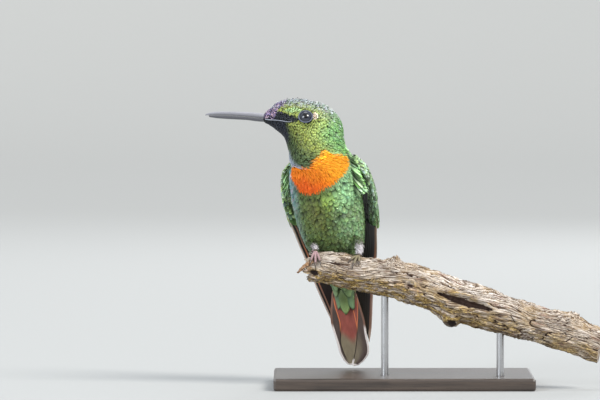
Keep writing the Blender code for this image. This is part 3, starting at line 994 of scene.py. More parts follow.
@dataclass(frozen=True)
class BarkFinish(Finish):
    """Weathered wood: pale worn fibres, brown grooves, ochre moss below and red-brown heart."""

    warm: float = 0.0  # share of orange-brown over everything

    def build(self, nodes: Nodes) -> bpy.types.Material:
        """Colours mixed by the Groove, Moss and Bare marks, the mark that darkens the hollows, and by long
        and small noises.

        The Grain map runs in centimetres along the branch and from 0 to 1 over half its round.

        Args:
            nodes: the new material's nodes.

        Returns:
            The material.
        """
        fibres = nodes.noise(nodes.map("Grain", (1.1, 24.0, 1.0)), 1.0, 5.0, 0.66)
        threads = nodes.noise(nodes.map("Grain", (2.0, 78.0, 1.0)), 1.0, 3.0, 0.62)
        cloud = nodes.noise(nodes.position(), 130, 4.0, 0.6)
        speck = nodes.noise(nodes.position(), 1500, 3.0, 0.7)
        groove = nodes.attribute("Groove", "Fac")
        colour = nodes.blend(nodes.step(fibres, 0.42, 0.56), (0.14, 0.085, 0.05), (0.56, 0.46, 0.36))
        colour = nodes.blend(nodes.step(cloud, 0.45, 0.66), colour, (0.42, 0.29, 0.15))
        bare = nodes.sum("MULTIPLY_ADD", nodes.attribute("Bare", "Fac"), 0.7, 0.3)
        pale = nodes.sum("MULTIPLY", nodes.step(threads, 0.48, 0.60), bare)
        colour = nodes.blend(pale, colour, (0.97, 0.90, 0.84))
        red = nodes.noise(nodes.map("Grain", (1.2, 9.0, 1.0)), 1.3, 3.0)
        reddened = nodes.sum("MULTIPLY", nodes.step(red, 0.58, 0.68), 0.5)
        colour = nodes.blend(reddened, colour, (0.24, 0.10, 0.06))
        clumps = nodes.step(nodes.noise(nodes.map("Grain", (2.2, 11.0, 1.0)), 1.0, 5.0, 0.65), 0.44, 0.56)
        moss = nodes.sum("MULTIPLY", nodes.attribute("Moss", "Fac"), clumps)
        ochre = nodes.blend(nodes.step(speck, 0.4, 0.6), (0.26, 0.15, 0.04), (0.62, 0.43, 0.13))
        colour = nodes.blend(moss, colour, ochre)
        thin = nodes.sum("MULTIPLY", nodes.sum("SUBTRACT", 1.0, nodes.step(threads, 0.41, 0.49)), 0.9)
        colour = nodes.blend(thin, colour, (0.085, 0.05, 0.03))
        colour = nodes.blend(nodes.step(groove, 0.18, 0.65), colour, (0.060, 0.030, 0.020))
        # Near black in the pit and the deepest holes, darker where deeper
        colour = nodes.blend(nodes.attribute("Rot", "Fac"), colour, (0.02, 0.012, 0.010))
        if self.warm:
            colour = nodes.blend(self.warm, colour, (0.52, 0.22, 0.07))
        colour = nodes.blend(1.0, colour, nodes.sum("MULTIPLY_ADD", speck, 0.7, 0.65), "MULTIPLY")
        height = nodes.sum("ADD", fibres, nodes.sum("MULTIPLY", threads, 0.6))
        fine = nodes.bump(speck, 0.0001, 0.5)
        return nodes.dress(base_color=colour, roughness=0.86, normal=nodes.bump(height, 0.0007, 1.0, fine))


@dataclass(frozen=True)
class BoardFinish(Finish):
    """Stand plate: dark stained board with straight fine grain under a satin lacquer."""

    def build(self, nodes: Nodes) -> bpy.types.Material:
        """Two browns by noise that is long in X, with pores as bump.

        Args:
            nodes: the new material's nodes.

        Returns:
            The material.
        """
        grain = nodes.noise(nodes.position((14, 330, 330)), 1.0, 5.0, 0.65)
        pores = nodes.noise(nodes.position((120, 2600, 2600)), 1.0, 2.0)
        colour = nodes.blend(nodes.step(grain, 0.3, 0.7), (0.030, 0.022, 0.018), (0.085, 0.060, 0.045))
        dark = nodes.sum("MULTIPLY", nodes.step(pores, 0.55, 0.7), 0.5)
        colour = nodes.blend(dark, colour, (0.015, 0.011, 0.009))
        return nodes.dress(
            base_color=colour, roughness=nodes.sum("MULTIPLY_ADD", grain, 0.15, 0.34),
            coat_weight=0.35, coat_roughness=0.25, normal=nodes.bump(pores, 0.00005, 0.4),
        )


@dataclass(frozen=True)
class SteelFinish(Finish):
    """Stand rods: drawn steel with fine lengthwise scratches and a few dull patches."""

    def build(self, nodes: Nodes) -> bpy.types.Material:
        """Roughness and bump from noise that is long in Z.

        Args:
            nodes: the new material's nodes.

        Returns:
            The material.
        """
        scratch = nodes.noise(nodes.position((5200, 5200, 90)), 1.0, 3.0)
        cloud = nodes.noise(nodes.position(), 240, 3.0)
        colour = nodes.blend(cloud, (0.50, 0.50, 0.515), (0.62, 0.62, 0.63))
        dull = nodes.sum("MULTIPLY", cloud, 0.12)
        rough = nodes.sum("ADD", nodes.sum("MULTIPLY_ADD", scratch, 0.2, 0.12), dull)
        return nodes.dress(
            base_color=colour, metallic=1.0, roughness=rough, normal=nodes.bump(scratch, 0.00002, 0.35)
        )


@dataclass(frozen=True)
class PaperFinish(Finish):
    """Floor and backdrop: plain pale matt paper with a hardly seen tooth."""

    def build(self, nodes: Nodes) -> bpy.types.Material:
        """A pale grey with a little noise.

        Args:
            nodes: the new material's nodes.

        Returns:
            The material.
        """
        tooth = nodes.noise(nodes.position(), 900, 2.0)
        colour = nodes.blend(tooth, (0.40, 0.41, 0.405), (0.43, 0.435, 0.43))
        return nodes.dress(base_color=colour, roughness=0.9)


# ---------------------------------------------------------------------------------------------
# Markings, shared by the skin and the feathers


def dye(red: float, green: float, blue: float) -> Triple:
    """A linear colour from display values of 0 to 255."""
    shares = (red / 255, green / 255, blue / 255)
    return tuple(c / 12.92 if c <= 0.04045 else ((c + 0.055) / 1.055) ** 2.4 for c in shares)


class Pigment(Enum):
    """Colours of the bird's coat."""

    VIOLET = dye(138, 122, 162)
    PINK = dye(196, 168, 184)
    LORES = dye(26, 31, 38)
    CHIN = dye(32, 38, 50)
    BROW = dye(164, 194, 130)
    # Painted sheen: pale silver that stands for light glancing off the crown's feathers
    PAINTED_SILVER_SHEEN = dye(206, 214, 222)
    # Crown green, greyed towards silver as a painted sheen
    CROWN_GREEN_AND_SHEEN = dye(128, 146, 130)
    NAPE = dye(113, 162, 96)
    CHEEK = dye(138, 150, 70)
    CHEEK_BACK = dye(158, 174, 92)
    # Throat green, partly its own colour and partly darkened as painted shade under the head
    THROAT_GREEN_AND_SHADE = dye(75, 94, 53)
    THROAT_LOW_GREEN_AND_SHADE = dye(70, 88, 54)
    # Painted rim light: pale blue, as if lit from behind
    PAINTED_RIM_LIGHT = dye(176, 186, 206)
    CREAM = dye(250, 222, 200)
    AMBER = dye(252, 166, 20)
    ORANGE = dye(252, 138, 2)
    RUST = dye(238, 94, 2)
    BREAST_LEFT = dye(146, 190, 138)
    # Teal of the bird's right breast, partly its own colour and partly a painted blue sheen below the band
    BREAST_TEAL_AND_SHEEN = dye(108, 150, 152)
    BELLY = dye(88, 108, 55)
    OLIVE = dye(98, 101, 51)
    VENT = dye(90, 112, 68)
    LIME = dye(176, 214, 96)
    BACK = dye(108, 160, 76)
    RUMP = dye(130, 142, 66)
    SCAPULAR = dye(178, 222, 160)
    COVERT = dye(120, 150, 122)
    # Painted highlight: bluish white, for light glinting off the mantle and wing coverts
    PAINTED_COVERT_HIGHLIGHT = dye(200, 226, 216)
    UNDERWING = dye(46, 44, 42)
    QUILL = dye(58, 48, 47)
    QUILL_BACK = dye(92, 76, 68)
    RUFOUS = dye(166, 90, 79)
    TAIL_TIP = dye(154, 141, 116)
    TAIL_EDGE = dye(94, 78, 72)
    TAIL_GREEN = dye(110, 114, 58)
    UNDERTAIL = dye(144, 170, 108)
    TEAL = dye(112, 150, 122)
    DUSK = dye(40, 48, 36)
    DOWN = dye(240, 234, 238)
    DOWN_BROWN = dye(150, 122, 116)
    LID = dye(88, 94, 112)
    GAPE = dye(158, 162, 174)
    TOE = dye(186, 150, 156)
    TOE_OLIVE = dye(150, 140, 110)
    TOE_DARK = dye(84, 72, 58)


def lay(base: Array | Pigment, *layers: tuple[Array | float, Pigment]) -> Array:
    """Tints with pigments laid over them in turn.

    Args:
        base: the tints, or one pigment.
        layers: shares of a pigment with the pigment, one number to a tint or one for all.

    Returns:
        Linear colours, in a last axis of three.
    """
    tint = np.array(base.value) if isinstance(base, Pigment) else base
    for share, pigment in layers:
        tint = tint + np.asarray(share)[..., None] * (np.array(pigment.value) - tint)
    return tint


@dataclass
class Markings:
    """Where each pigment lies. Places are in millimetres, angles in degrees from the back.

    The head's marks are ellipses and slopes in its side view, the same on both sides. The breast
    band is a window on the breast's own cone: the bearing round the breast and the height along
    its axis.
    """

    band_centre: Array = table(-26.4, -7.5, 69.5)
    band_left: Array = table(0.951, -0.309, 0.0)
    band_back: Array = table(0.273, 0.840, 0.469)
    # Bearings from the breast's middle, in degrees, and the band's upper edge there
    band_top: tuple[Row, Row] = (
        (-100, -88, -60, -36, -15, -6, 0, 8, 24, 38, 46, 56, 75, 87, 93, 100),
        (0.4, 3.2, 5.3, 6.1, 6.4, 7.2, 8.4, 9.5, 10.5, 11.2, 10.6, 9.2, 8.2, 6.0, 3.2, 0.0),
    )
    # The same for its lower edge
    band_foot: tuple[Row, Row] = (
        (-100, -60, -42, -28, -12, 0, 15, 30, 50, 75, 100),
        (5.6, 0.8, -1.2, -2.4, -2.6, -2.1, -1.1, 0.0, 1.2, 3.2, 6.1),
    )
    # The lores: X with their upper edge, and X with their lower edge
    lores_top: tuple[Row, Row] = (
        (-42.5, -40.4, -39.0, -37.6, -35.8, -34.2), (87.4, 89.6, 89.3, 88.4, 88.0, 87.3),
    )
    lores_foot: tuple[Row, Row] = ((-42.5, -38.4, -34.0), (85.2, 85.4, 86.3))
    # The chin: Z with its hind edge. The frontlet: X with its lower edge
    chin_edge: tuple[Row, Row] = ((76, 79.5, 81.8, 84.5, 86), (-37.6, -36.9, -36.9, -37.5, -38.2))
    frontlet_foot: tuple[Row, Row] = ((-42.0, -40.4, -38.1, -36.9), (86.9, 89.9, 91.9, 93.6))

    def breast(self, place: Array) -> tuple[Array, Array]:
        """Bearing round the breast in degrees, towards the bird's left, and height along it."""
        from_centre = place - self.band_centre
        bearing = np.arctan2(from_centre @ self.band_left, -(from_centre @ self.band_back))
        return np.degrees(bearing), from_centre @ np.cross(self.band_left, self.band_back)

    def band(self, place: Array, station: Array, blur: float = 0.5) -> Array:
        """How far places are inside the orange breast band.

        Args:
            place: points in millimetres.
            station: their spine stations.
            blur: half the width of its soft edges, in millimetres.

        Returns:
            Shares from 0 to 1.
        """
        bearing, height = self.breast(place)
        height = height + 0.3 * ripple(bearing / 16, height / 3, 5)
        top, foot = np.interp(bearing, *self.band_top), np.interp(bearing, *self.band_foot)
        inside = soft(height, foot - blur, foot + blur) * (1 - soft(height, top - blur, top + blur))
        return inside * (1 - soft(np.abs(bearing), 92, 99)) * soft(station, 6.6, 7.2)

    def head(self, x: Array, z: Array, from_back: Array, station: Array) -> Array:
        """Crown, face, chin and throat.

        Args:
            x: where the places lie in the head's side view.
            z: their heights.
            from_back: their angles from the back.
            station: their spine stations.

        Returns:
            Linear colours.
        """
        wander = 0.22 * ripple(x / 1.5, z / 1.1, 8)
        top = np.interp(x, *self.lores_top) + wander
        foot = np.interp(x, *self.lores_foot)
        lores = soft(top - z, -0.2, 0.3) * soft(z - foot, -0.2, 0.2) * (1 - soft(x, -34.1, -33.5))
        edge = np.interp(z, *self.chin_edge) + wander
        chin = (1 - soft(z, 85.4, 86.0)) * (1 - soft(x - edge, -0.9, 0.8)) * soft(z, 76.0, 80.5)
        over = soft(z + wander - np.interp(x, *self.frontlet_foot), -0.35, 0.4)
        frontlet = over * (1 - soft(x + wander, -37.6, -36.4)) * soft(z, 86.3, 87.0)
        return lay(
            Pigment.CHEEK,
            (soft(x, -33, -29) * soft(z, 77, 84), Pigment.CHEEK_BACK),
            # Painted shade: the throat's greens are darkened for the shade under the head
            (soft(from_back, 96, 140), Pigment.THROAT_GREEN_AND_SHADE),
            (soft(from_back, 84, 124) * (1 - soft(z, 70, 79)), Pigment.THROAT_LOW_GREEN_AND_SHADE),
            # Painted sheen: the crown's green is greyed towards silver
            (1 - soft(from_back, 24, 58), Pigment.CROWN_GREEN_AND_SHEEN),
            (soft(station, 5.4, 7.0) * (1 - soft(from_back, 60, 105)), Pigment.NAPE),
            (spot(x, z, (-35.7, 89.7), (2.6, 0.8)), Pigment.BROW),
            (lores, Pigment.LORES),
            (chin, Pigment.CHIN),
            (frontlet, Pigment.VIOLET),
            (spot(x, z, (-28.6, 87.9), (0.95, 1.15)), Pigment.CREAM),
        )

    def tint(self, place: Array, station: Array, angle: Array) -> Array:
        """The coat's colour at places of the body.

        Args:
            place: points in millimetres.
            station: their spine stations.
            angle: their angles from the back, in radians.

        Returns:
            Linear colours, in a last axis of three.
        """
        from_back = np.abs(turned(angle))
        x, z = place[..., 0], place[..., 2]
        bearing, height = self.breast(place)
        left = soft(bearing, 12, 55) * (0.55 + 0.45 * soft(height, -12, -5))
        # Partly painted sheen: the right breast's teal is strongest just below the band
        right = (1 - soft(bearing, -62, -28)) * (0.4 + 0.6 * soft(height, -13, -5))
        belly = lay(
            Pigment.BELLY,
            (left, Pigment.BREAST_LEFT),
            (right, Pigment.BREAST_TEAL_AND_SHEEN),
            (0.75 * bell(bearing, -2, 22) * bell(height, -9.5, 6.5), Pigment.OLIVE),
            (0.4 * bell(bearing, 22, 17) * bell(height, -5.2, 3.2), Pigment.LIME),
            (1 - soft(z, 41.5, 50.5), Pigment.VENT),
            (1 - soft(z, 33, 38), Pigment.UNDERTAIL),
        )
        band = lay(
            Pigment.ORANGE,
            (soft(bearing + height * 4, 20, 70), Pigment.AMBER),
            (0.85 * (1 - soft(height, -1.0, 3.4)) * (1 - soft(bearing, -5, 45)), Pigment.RUST),
            (0.6 * bell(bearing, -20, 12) * bell(height, 1.5, 2.2), Pigment.RUST),
        )
        back = lay(Pigment.BACK, (soft(station, 13.5, 16), Pigment.RUMP))
        whole = self.head(x, z, from_back, station)
        for share, over in (
            (soft(station, 7.6, 9.2), belly + (1 - soft(from_back, 62, 88))[..., None] * (back - belly)),
            (self.band(place, station), band),
        ):
            whole = whole + share[..., None] * (over - whole)
        return whole

# ---------------------------------------------------------------------------------------------
# Plumage: closed vanes grown on a form


class Outline(Enum):
    """Half widths of a feather at the cuts from its quill to its tip, as shares of the widest."""

    ROUND = (0.12, 0.50, 0.84, 1.00, 0.97, 0.70, 0.24)
    LANCE = (0.20, 0.62, 0.92, 0.95, 0.70, 0.40, 0.08)
    WISP = (0.60, 0.95, 1.00, 0.80, 0.55, 0.32, 0.12)
    LEAF = (0.30, 0.72, 0.98, 1.00, 0.80, 0.48, 0.12)
    DIAMOND = (0.30, 0.70, 1.00, 0.92, 0.62, 0.30, 0.06)


CUTS = np.array([0.0, 0.22, 0.45, 0.65, 0.82, 0.94, 1.0])  # of a feather, as shares of its length
CROSS = np.array([(-1, 0), (-0.5, 0.75), (0, 1), (0.5, 0.75), (1, 0), (0, -0.5)])  # of one cut
PATCH = 0.003  # size of a tuft's patch in the baking map


@dataclass
class Tufts:
    """Feathers to grow, in arrays with one value to a feather. Lengths are in millimetres."""

    along: Array
    across: Array
    length: Array
    width: Array
    sink: Array  # of the quill under the form
    lift: Array  # of the tip over the form
    turn: Array  # of the run, in radians, towards the across direction
    tint: Array

    def pick(self, chosen: Array) -> "Tufts":
        """Some of the feathers."""
        return Tufts(*(values[chosen] for values in vars(self).values()))


@dataclass(frozen=True)
class Cut:
    """How one tract's feathers are shaped."""

    outline: Outline = Outline.ROUND
    camber: float = 0.32  # drop of the edges, as a share of the half width
    thickness: float = 0.07  # of the shaft, in millimetres
    fray: float = 0.07  # raggedness of the tip, as a share of the length
    rise: float = 0.75  # power of the rise from quill to tip


def grow(form: Form, tufts: Tufts, cut: Cut, seed: int) -> Sheet:
    """Feathers on a form, each a closed vane of seven cuts of six points.

    A cut at share s of the length lies s lengths down the run from the root, on the form, and
    its points spread across by the outline's half width. Its height goes from the sink under
    the form to the lift over it, as s to the power rise. The edges hang by the camber, the
    middle stands up by the thickness, and the last cuts are frayed.

    Args:
        form: the surface they lie on.
        tufts: their roots and sizes.
        cut: their shape.
        seed: picks the fraying.

    Returns:
        The sheet, with its Vane map, its OFBake map and its tints.
    """
    pick = np.random.default_rng(seed)
    grid = (len(tufts.along), len(CUTS), len(CROSS))
    along, across, length, width, sink, lift, turn = (
        values[:, None, None] for values in list(vars(tufts).values())[:-1]
    )
    root = form.basis(along, across)
    share, side, up = CUTS[None, :, None], CROSS[:, 0], CROSS[:, 1]
    half = np.array(cut.outline.value)[None, :, None] * width / 2
    down = (share + soft(share, 0.6, 0.95) * pick.normal(0, cut.fray, grid)) * length
    aside = side * half
    along = along + (down * np.cos(turn) - aside * np.sin(turn)) / root.flow_rate
    across = across + (down * np.sin(turn) + aside * np.cos(turn)) / root.across_rate
    slim = np.clip(half / np.maximum(half.max(1, keepdims=True), 1e-9), 0.25, 1)
    height = (sink + lift) * share**cut.rise - sink
    height = height + up * cut.thickness * slim - cut.camber * half * side**2
    outward = form.basis(along[..., 2], across[..., 2]).outward[:, :, None]
    points = form.place(along, across) + outward * height[..., None]
    corner = np.arange(np.prod(grid)).reshape(grid)
    here = corner[:, :-1]
    after = np.roll(here, -1, 2)
    quads = np.stack([here, after, after + len(CROSS), here + len(CROSS)], -1).reshape(-1, 4)
    ends = np.concatenate([corner[:, 0, ::-1], corner[:, -1]])
    vane = np.broadcast_to(np.stack(np.broadcast_arrays((side + 1) / 2, share), -1), (*grid, 2))
    patch = np.stack([spread(tufts.across), spread(tufts.along)], -1)[:, None, None] + (vane - 0.5) * PATCH
    maps = {"OFBake": patch.reshape(-1, 2), "Vane": vane.reshape(-1, 2)}
    return Sheet(points.reshape(-1, 3), [quads, ends], maps, np.repeat(tufts.tint, len(CUTS) * len(CROSS), 0))


def spread(values: Array) -> Array:
    """Values spread over a map's side, with a margin for a patch at each end."""
    low, high = values.min(), values.max()
    return PATCH + (values - low) / max(high - low, 1e-9) * (1 - 2 * PATCH)


def scatter(
    form: Form, along: tuple[float, float], across: tuple[float, float],
    spacing: Callable[[Array, Array, Array], Array], seed: int, allowed: Callable | None = None,
) -> tuple[Array, Array]:
    """Roots spread evenly over a form, no two nearer than the spacing there.

    Many places are drawn with a chance that goes with area over spacing squared. They are taken
    in turn, and each one kept strikes out the others within its spacing.

    Args:
        form: the surface.
        along: first and last parameter along the run.
        across: first and last parameter across it.
        spacing: millimetres between roots, from points and both parameters.
        seed: picks the places.
        allowed: tells from the same three whether a root may stand there.

    Returns:
        The kept roots' two parameters.
    """
    pick = np.random.default_rng(seed)
    rows, columns = 220, 260
    u = np.linspace(*along, rows + 1)
    v = np.linspace(*across, columns + 1)
    middle_u, middle_v = np.meshgrid((u[1:] + u[:-1]) / 2, (v[1:] + v[:-1]) / 2, indexing="ij")
    cell = form.basis(middle_u, middle_v)
    area = cell.flow_rate * cell.across_rate * (u[1] - u[0]) * (v[1] - v[0])
    gap = spacing(cell.point, middle_u, middle_v)
    weight = (area / gap**2).ravel()
    if allowed is not None:
        weight = weight * allowed(cell.point, middle_u, middle_v).ravel()
    drawn = pick.choice(weight.size, int(weight.sum() * 7), p=weight / weight.sum())
    row, column = np.unravel_index(drawn, (rows, columns))
    root_u = u[row] + pick.uniform(0, 1, len(drawn)) * (u[1] - u[0])
    root_v = v[column] + pick.uniform(0, 1, len(drawn)) * (v[1] - v[0])
    points = form.place(root_u, root_v)
    reach = spacing(points, root_u, root_v)
    tree = mathutils.kdtree.KDTree(len(points))
    for number, point in enumerate(points):
        tree.insert(point, number)
    tree.balance()
    free = np.ones(len(points), bool)
    kept = []
    for number, point in enumerate(points):
        if free[number]:
            kept.append(number)
            for _, near, _ in tree.find_range(point, reach[number]):
                free[near] = False
    return root_u[kept], root_v[kept]


# ---------------------------------------------------------------------------------------------
# Shapes made round an axis or across a long vane


def revolve(centre: Array, axis: Array, radii: Array, heights: Array, count: int) -> Array:
    """Rings round an axis: at angle a, radius r and height h give centre + h axis + r away(a).

    Args:
        centre: a point on the axis.
        axis: its direction.
        radii: one to a ring, or one to each point.
        heights: the same, along the axis.
        count: points to a ring.

    Returns:
        The points, one row to a ring.
    """
    first = unit(np.cross(axis, (0.0, 0.0, 1.0)))
    turn = np.linspace(0, 2 * math.pi, count, endpoint=False)[:, None]
    away = first * np.cos(turn) + np.cross(axis, first) * np.sin(turn)
    wide, tall = (np.broadcast_to(values.T, (count, len(values))).T[..., None] for values in (radii, heights))
    return centre + axis * tall + wide * away


@dataclass(frozen=True)
class LongVane:
    """One flight or tail feather as rows across a form, from its root to its tip.

    Row i lies at along[i] and spans lead[i] to trail[i] in the form's across parameter, drawn
    together by narrow[i]. It is raised off the form by lift plus bow times 4y(1 - y) at share y
    of its width. The Rim mark is the distance to the leading edge, or also to the tip and the
    last of the trailing edge; the Shaft mark is the distance to the shaft's line, below 0 on its
    leading side. Both are in millimetres.
    """

    along: Array
    lead: Array
    trail: Array
    narrow: Array
    lift: Array | float
    keep: float = 0.5  # share of the width where the edges are drawn to
    bow: float = 0.0
    shaft_at: Array | float = 0.3  # share of the width where the shaft lies, one or one to a row
    web: float = 0.10  # thickness of the web, in millimetres
    shaft: float = 0.16  # extra thickness of the shaft
    tip_rim: bool = False  # whether the Rim mark goes round the tip
    rim_side: int = 0  # 1 to keep the Rim mark to the upper face, -1 to the lower face, 0 for both
    line_width: float = 1.0  # how much wider than the finish's the rim and the shaft's line are

    def sheet(self, form: Form, strip: int, strips: int, tint: Callable, columns: int = 13) -> Sheet:
        """The vane as a closed sheet.

        Args:
            form: the surface it lies on.
            strip: its number among the piece's vanes, for the baking map.
            strips: how many vanes the piece has.
            tint: gives colours from shares along and across, and whether each is above.
            columns: points across it.

        Returns:
            The sheet with its maps and tints.
        """
        def both(upper: Array, lower: Array) -> Array:
            """Values of the upper face, then of the lower one from its trailing edge."""
            return np.concatenate([upper, lower[:, ::-1]], 1)

        heart = self.lead + (self.trail - self.lead) * self.keep
        lead, trail = (heart + (edge - heart) * self.narrow for edge in (self.lead, self.trail))
        share = np.linspace(0, 1, columns)[None]
        along = np.repeat(self.along[:, None], columns, 1)
        basis = form.basis(along, lead[:, None] * (1 - share) + trail[:, None] * share)
        share, down = np.broadcast_arrays(share, (along - along[0]) / (along[-1] - along[0]))
        wide = np.abs(trail - lead)[:, None] * basis.across_rate
        to_tip = (self.along[-1] - along) * basis.flow_rate
        rim = share * wide + 0.4 * np.maximum(3.0 - to_tip, 0) * (not self.tip_rim)
        if self.tip_rim:
            rim = np.minimum(np.minimum(rim, (1 - share) * wide + np.maximum(to_tip - 2.0, 0)), to_tip)
        to_shaft = (share - np.reshape(self.shaft_at, (-1, 1))) * wide
        ridge = self.shaft * bell(to_shaft, 0, 0.14) * (1 - 0.8 * down)
        half = (self.web * np.clip(4 * share * (1 - share), 0.12, 1) + ridge) / 2
        raised = np.reshape(self.lift, (-1, 1)) + self.bow * 4 * share * (1 - share)
        upper, lower = (basis.point + basis.outward * (raised + side * half)[..., None] for side in (1, -1))
        above = both(np.ones_like(share), np.zeros_like(share)) > 0
        share, down = both(share, share), both(down, down)
        place = (share + np.where(above, 0, 1.02)) / 2.04
        baking = np.stack([(strip + 0.02 + place * 0.95) / strips, 0.01 + down * 0.98], -1)
        rim = both(rim, rim) / self.line_width
        if self.rim_side:
            rim = np.where(above == (self.rim_side > 0), rim, 9.0)
        return Sheet.rings(
            both(upper, lower), {"Vane": np.stack([share, down], -1), "OFBake": baking},
            tint(down, share, above), {"Rim": rim, "Shaft": both(to_shaft, to_shaft) / self.line_width},
        )


def rounded(along: Array, tip: float, blunt: float) -> Array:
    """Width of a vane from 1 down to 0 at its tip, as a quarter ellipse over the last stretch."""
    left = np.clip((tip - along) / blunt, 0, 1)
    return np.sqrt(np.clip(1 - (1 - left) ** 2, 0, 1)) * 0.97 + 0.03


# ---------------------------------------------------------------------------------------------
# Sub-assemblies


@dataclass
class Eye:
    """One eye: a wet globe with a bulging front and a beaded lid round it."""

    side: str
    body: BodyForm
    station: float = 4.575
    angle: float = 69.0
    seen_radius: float = 1.82  # of the opening between the lids
    lid_breadth: float = 0.23
    lid_height: float = 0.22

    def __post_init__(self) -> None:
        """Centre and radius from the CAD eyeball, axis from there to the cheek's surface."""
        low, high = (np.array(corner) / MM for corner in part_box(f"eye_{self.side}"))
        self.centre = (low + high) / 2
        self.radius = float(np.max(high - low)) / 2
        angle = math.radians(self.angle) * dict(SIDES)[self.side]
        there = self.body.basis(np.array(self.station), np.array(angle))
        self.axis = unit(unit(there.point - self.centre) + there.outward)

    def off_axis(self, place: Array) -> tuple[Array, Array]:
        """Distances of places from the eye's axis, and their heights along it."""
        from_centre = place - self.centre
        height = from_centre @ self.axis
        return np.linalg.norm(from_centre - height[..., None] * self.axis, axis=-1), height

    def make_globe(self) -> None:
        """The globe: radius R sin p and height R cos p at polar angle p, and a low bulge in front."""
        polar = np.linspace(0.02, math.pi - 0.02, 40)
        reach = self.radius * (1 + 0.035 * bell(polar, 0, 0.45))
        rings = revolve(self.centre, self.axis, reach * np.sin(polar), reach * np.cos(polar), 56)
        ring = np.clip(reach * np.sin(polar) / self.seen_radius, 0, 1.2)[:, None]
        globe = Sheet.rings(rings, marks={"Ring": ring})
        write_piece(f"eyeball_{self.side}", globe, EYE, (f"eye_{self.side}",), outward=True)

    def make_lids(self) -> None:
        """The lids: a ring of round section about the opening, with beads and a fold outside it.

        The section's angle q runs round a half-axis of breadth by height. Twenty-six beads swell
        it, and the ring dips to a point at the front and the back corner.
        """
        count, cuts = 104, 16
        q, turn = around(0, 2 * math.pi, cuts + 1, count)
        q, turn = q[:-1], turn[:-1]
        beads = 1 + 0.16 * np.cos(26 * turn) * (np.cos(q) > -0.4)
        middle = self.seen_radius + self.lid_breadth
        radii = middle + self.lid_breadth * np.cos(q) * beads + 0.10 * np.cos(2 * turn)
        base = math.sqrt(self.radius**2 - middle**2)
        heights = base + 0.05 + self.lid_height * np.sin(q) * beads - 0.05 * np.cos(2 * turn)
        rings = revolve(self.centre, self.axis, radii, heights, count)
        corner = np.arange(cuts * count).reshape(cuts, count)
        after = np.roll(corner, -1, 1)
        quads = np.stack([corner, after, np.roll(after, -1, 0), np.roll(corner, -1, 0)], -1).reshape(-1, 4)
        tints = lay(Pigment.LID, (0.85 * soft(-np.cos(q), 0.2, 0.9), Pigment.LORES))
        lids = Sheet(rings.reshape(-1, 3), [quads], tints=tints.reshape(-1, 3))
        write_piece(f"eyelids_{self.side}", lids, LID, outward=True)


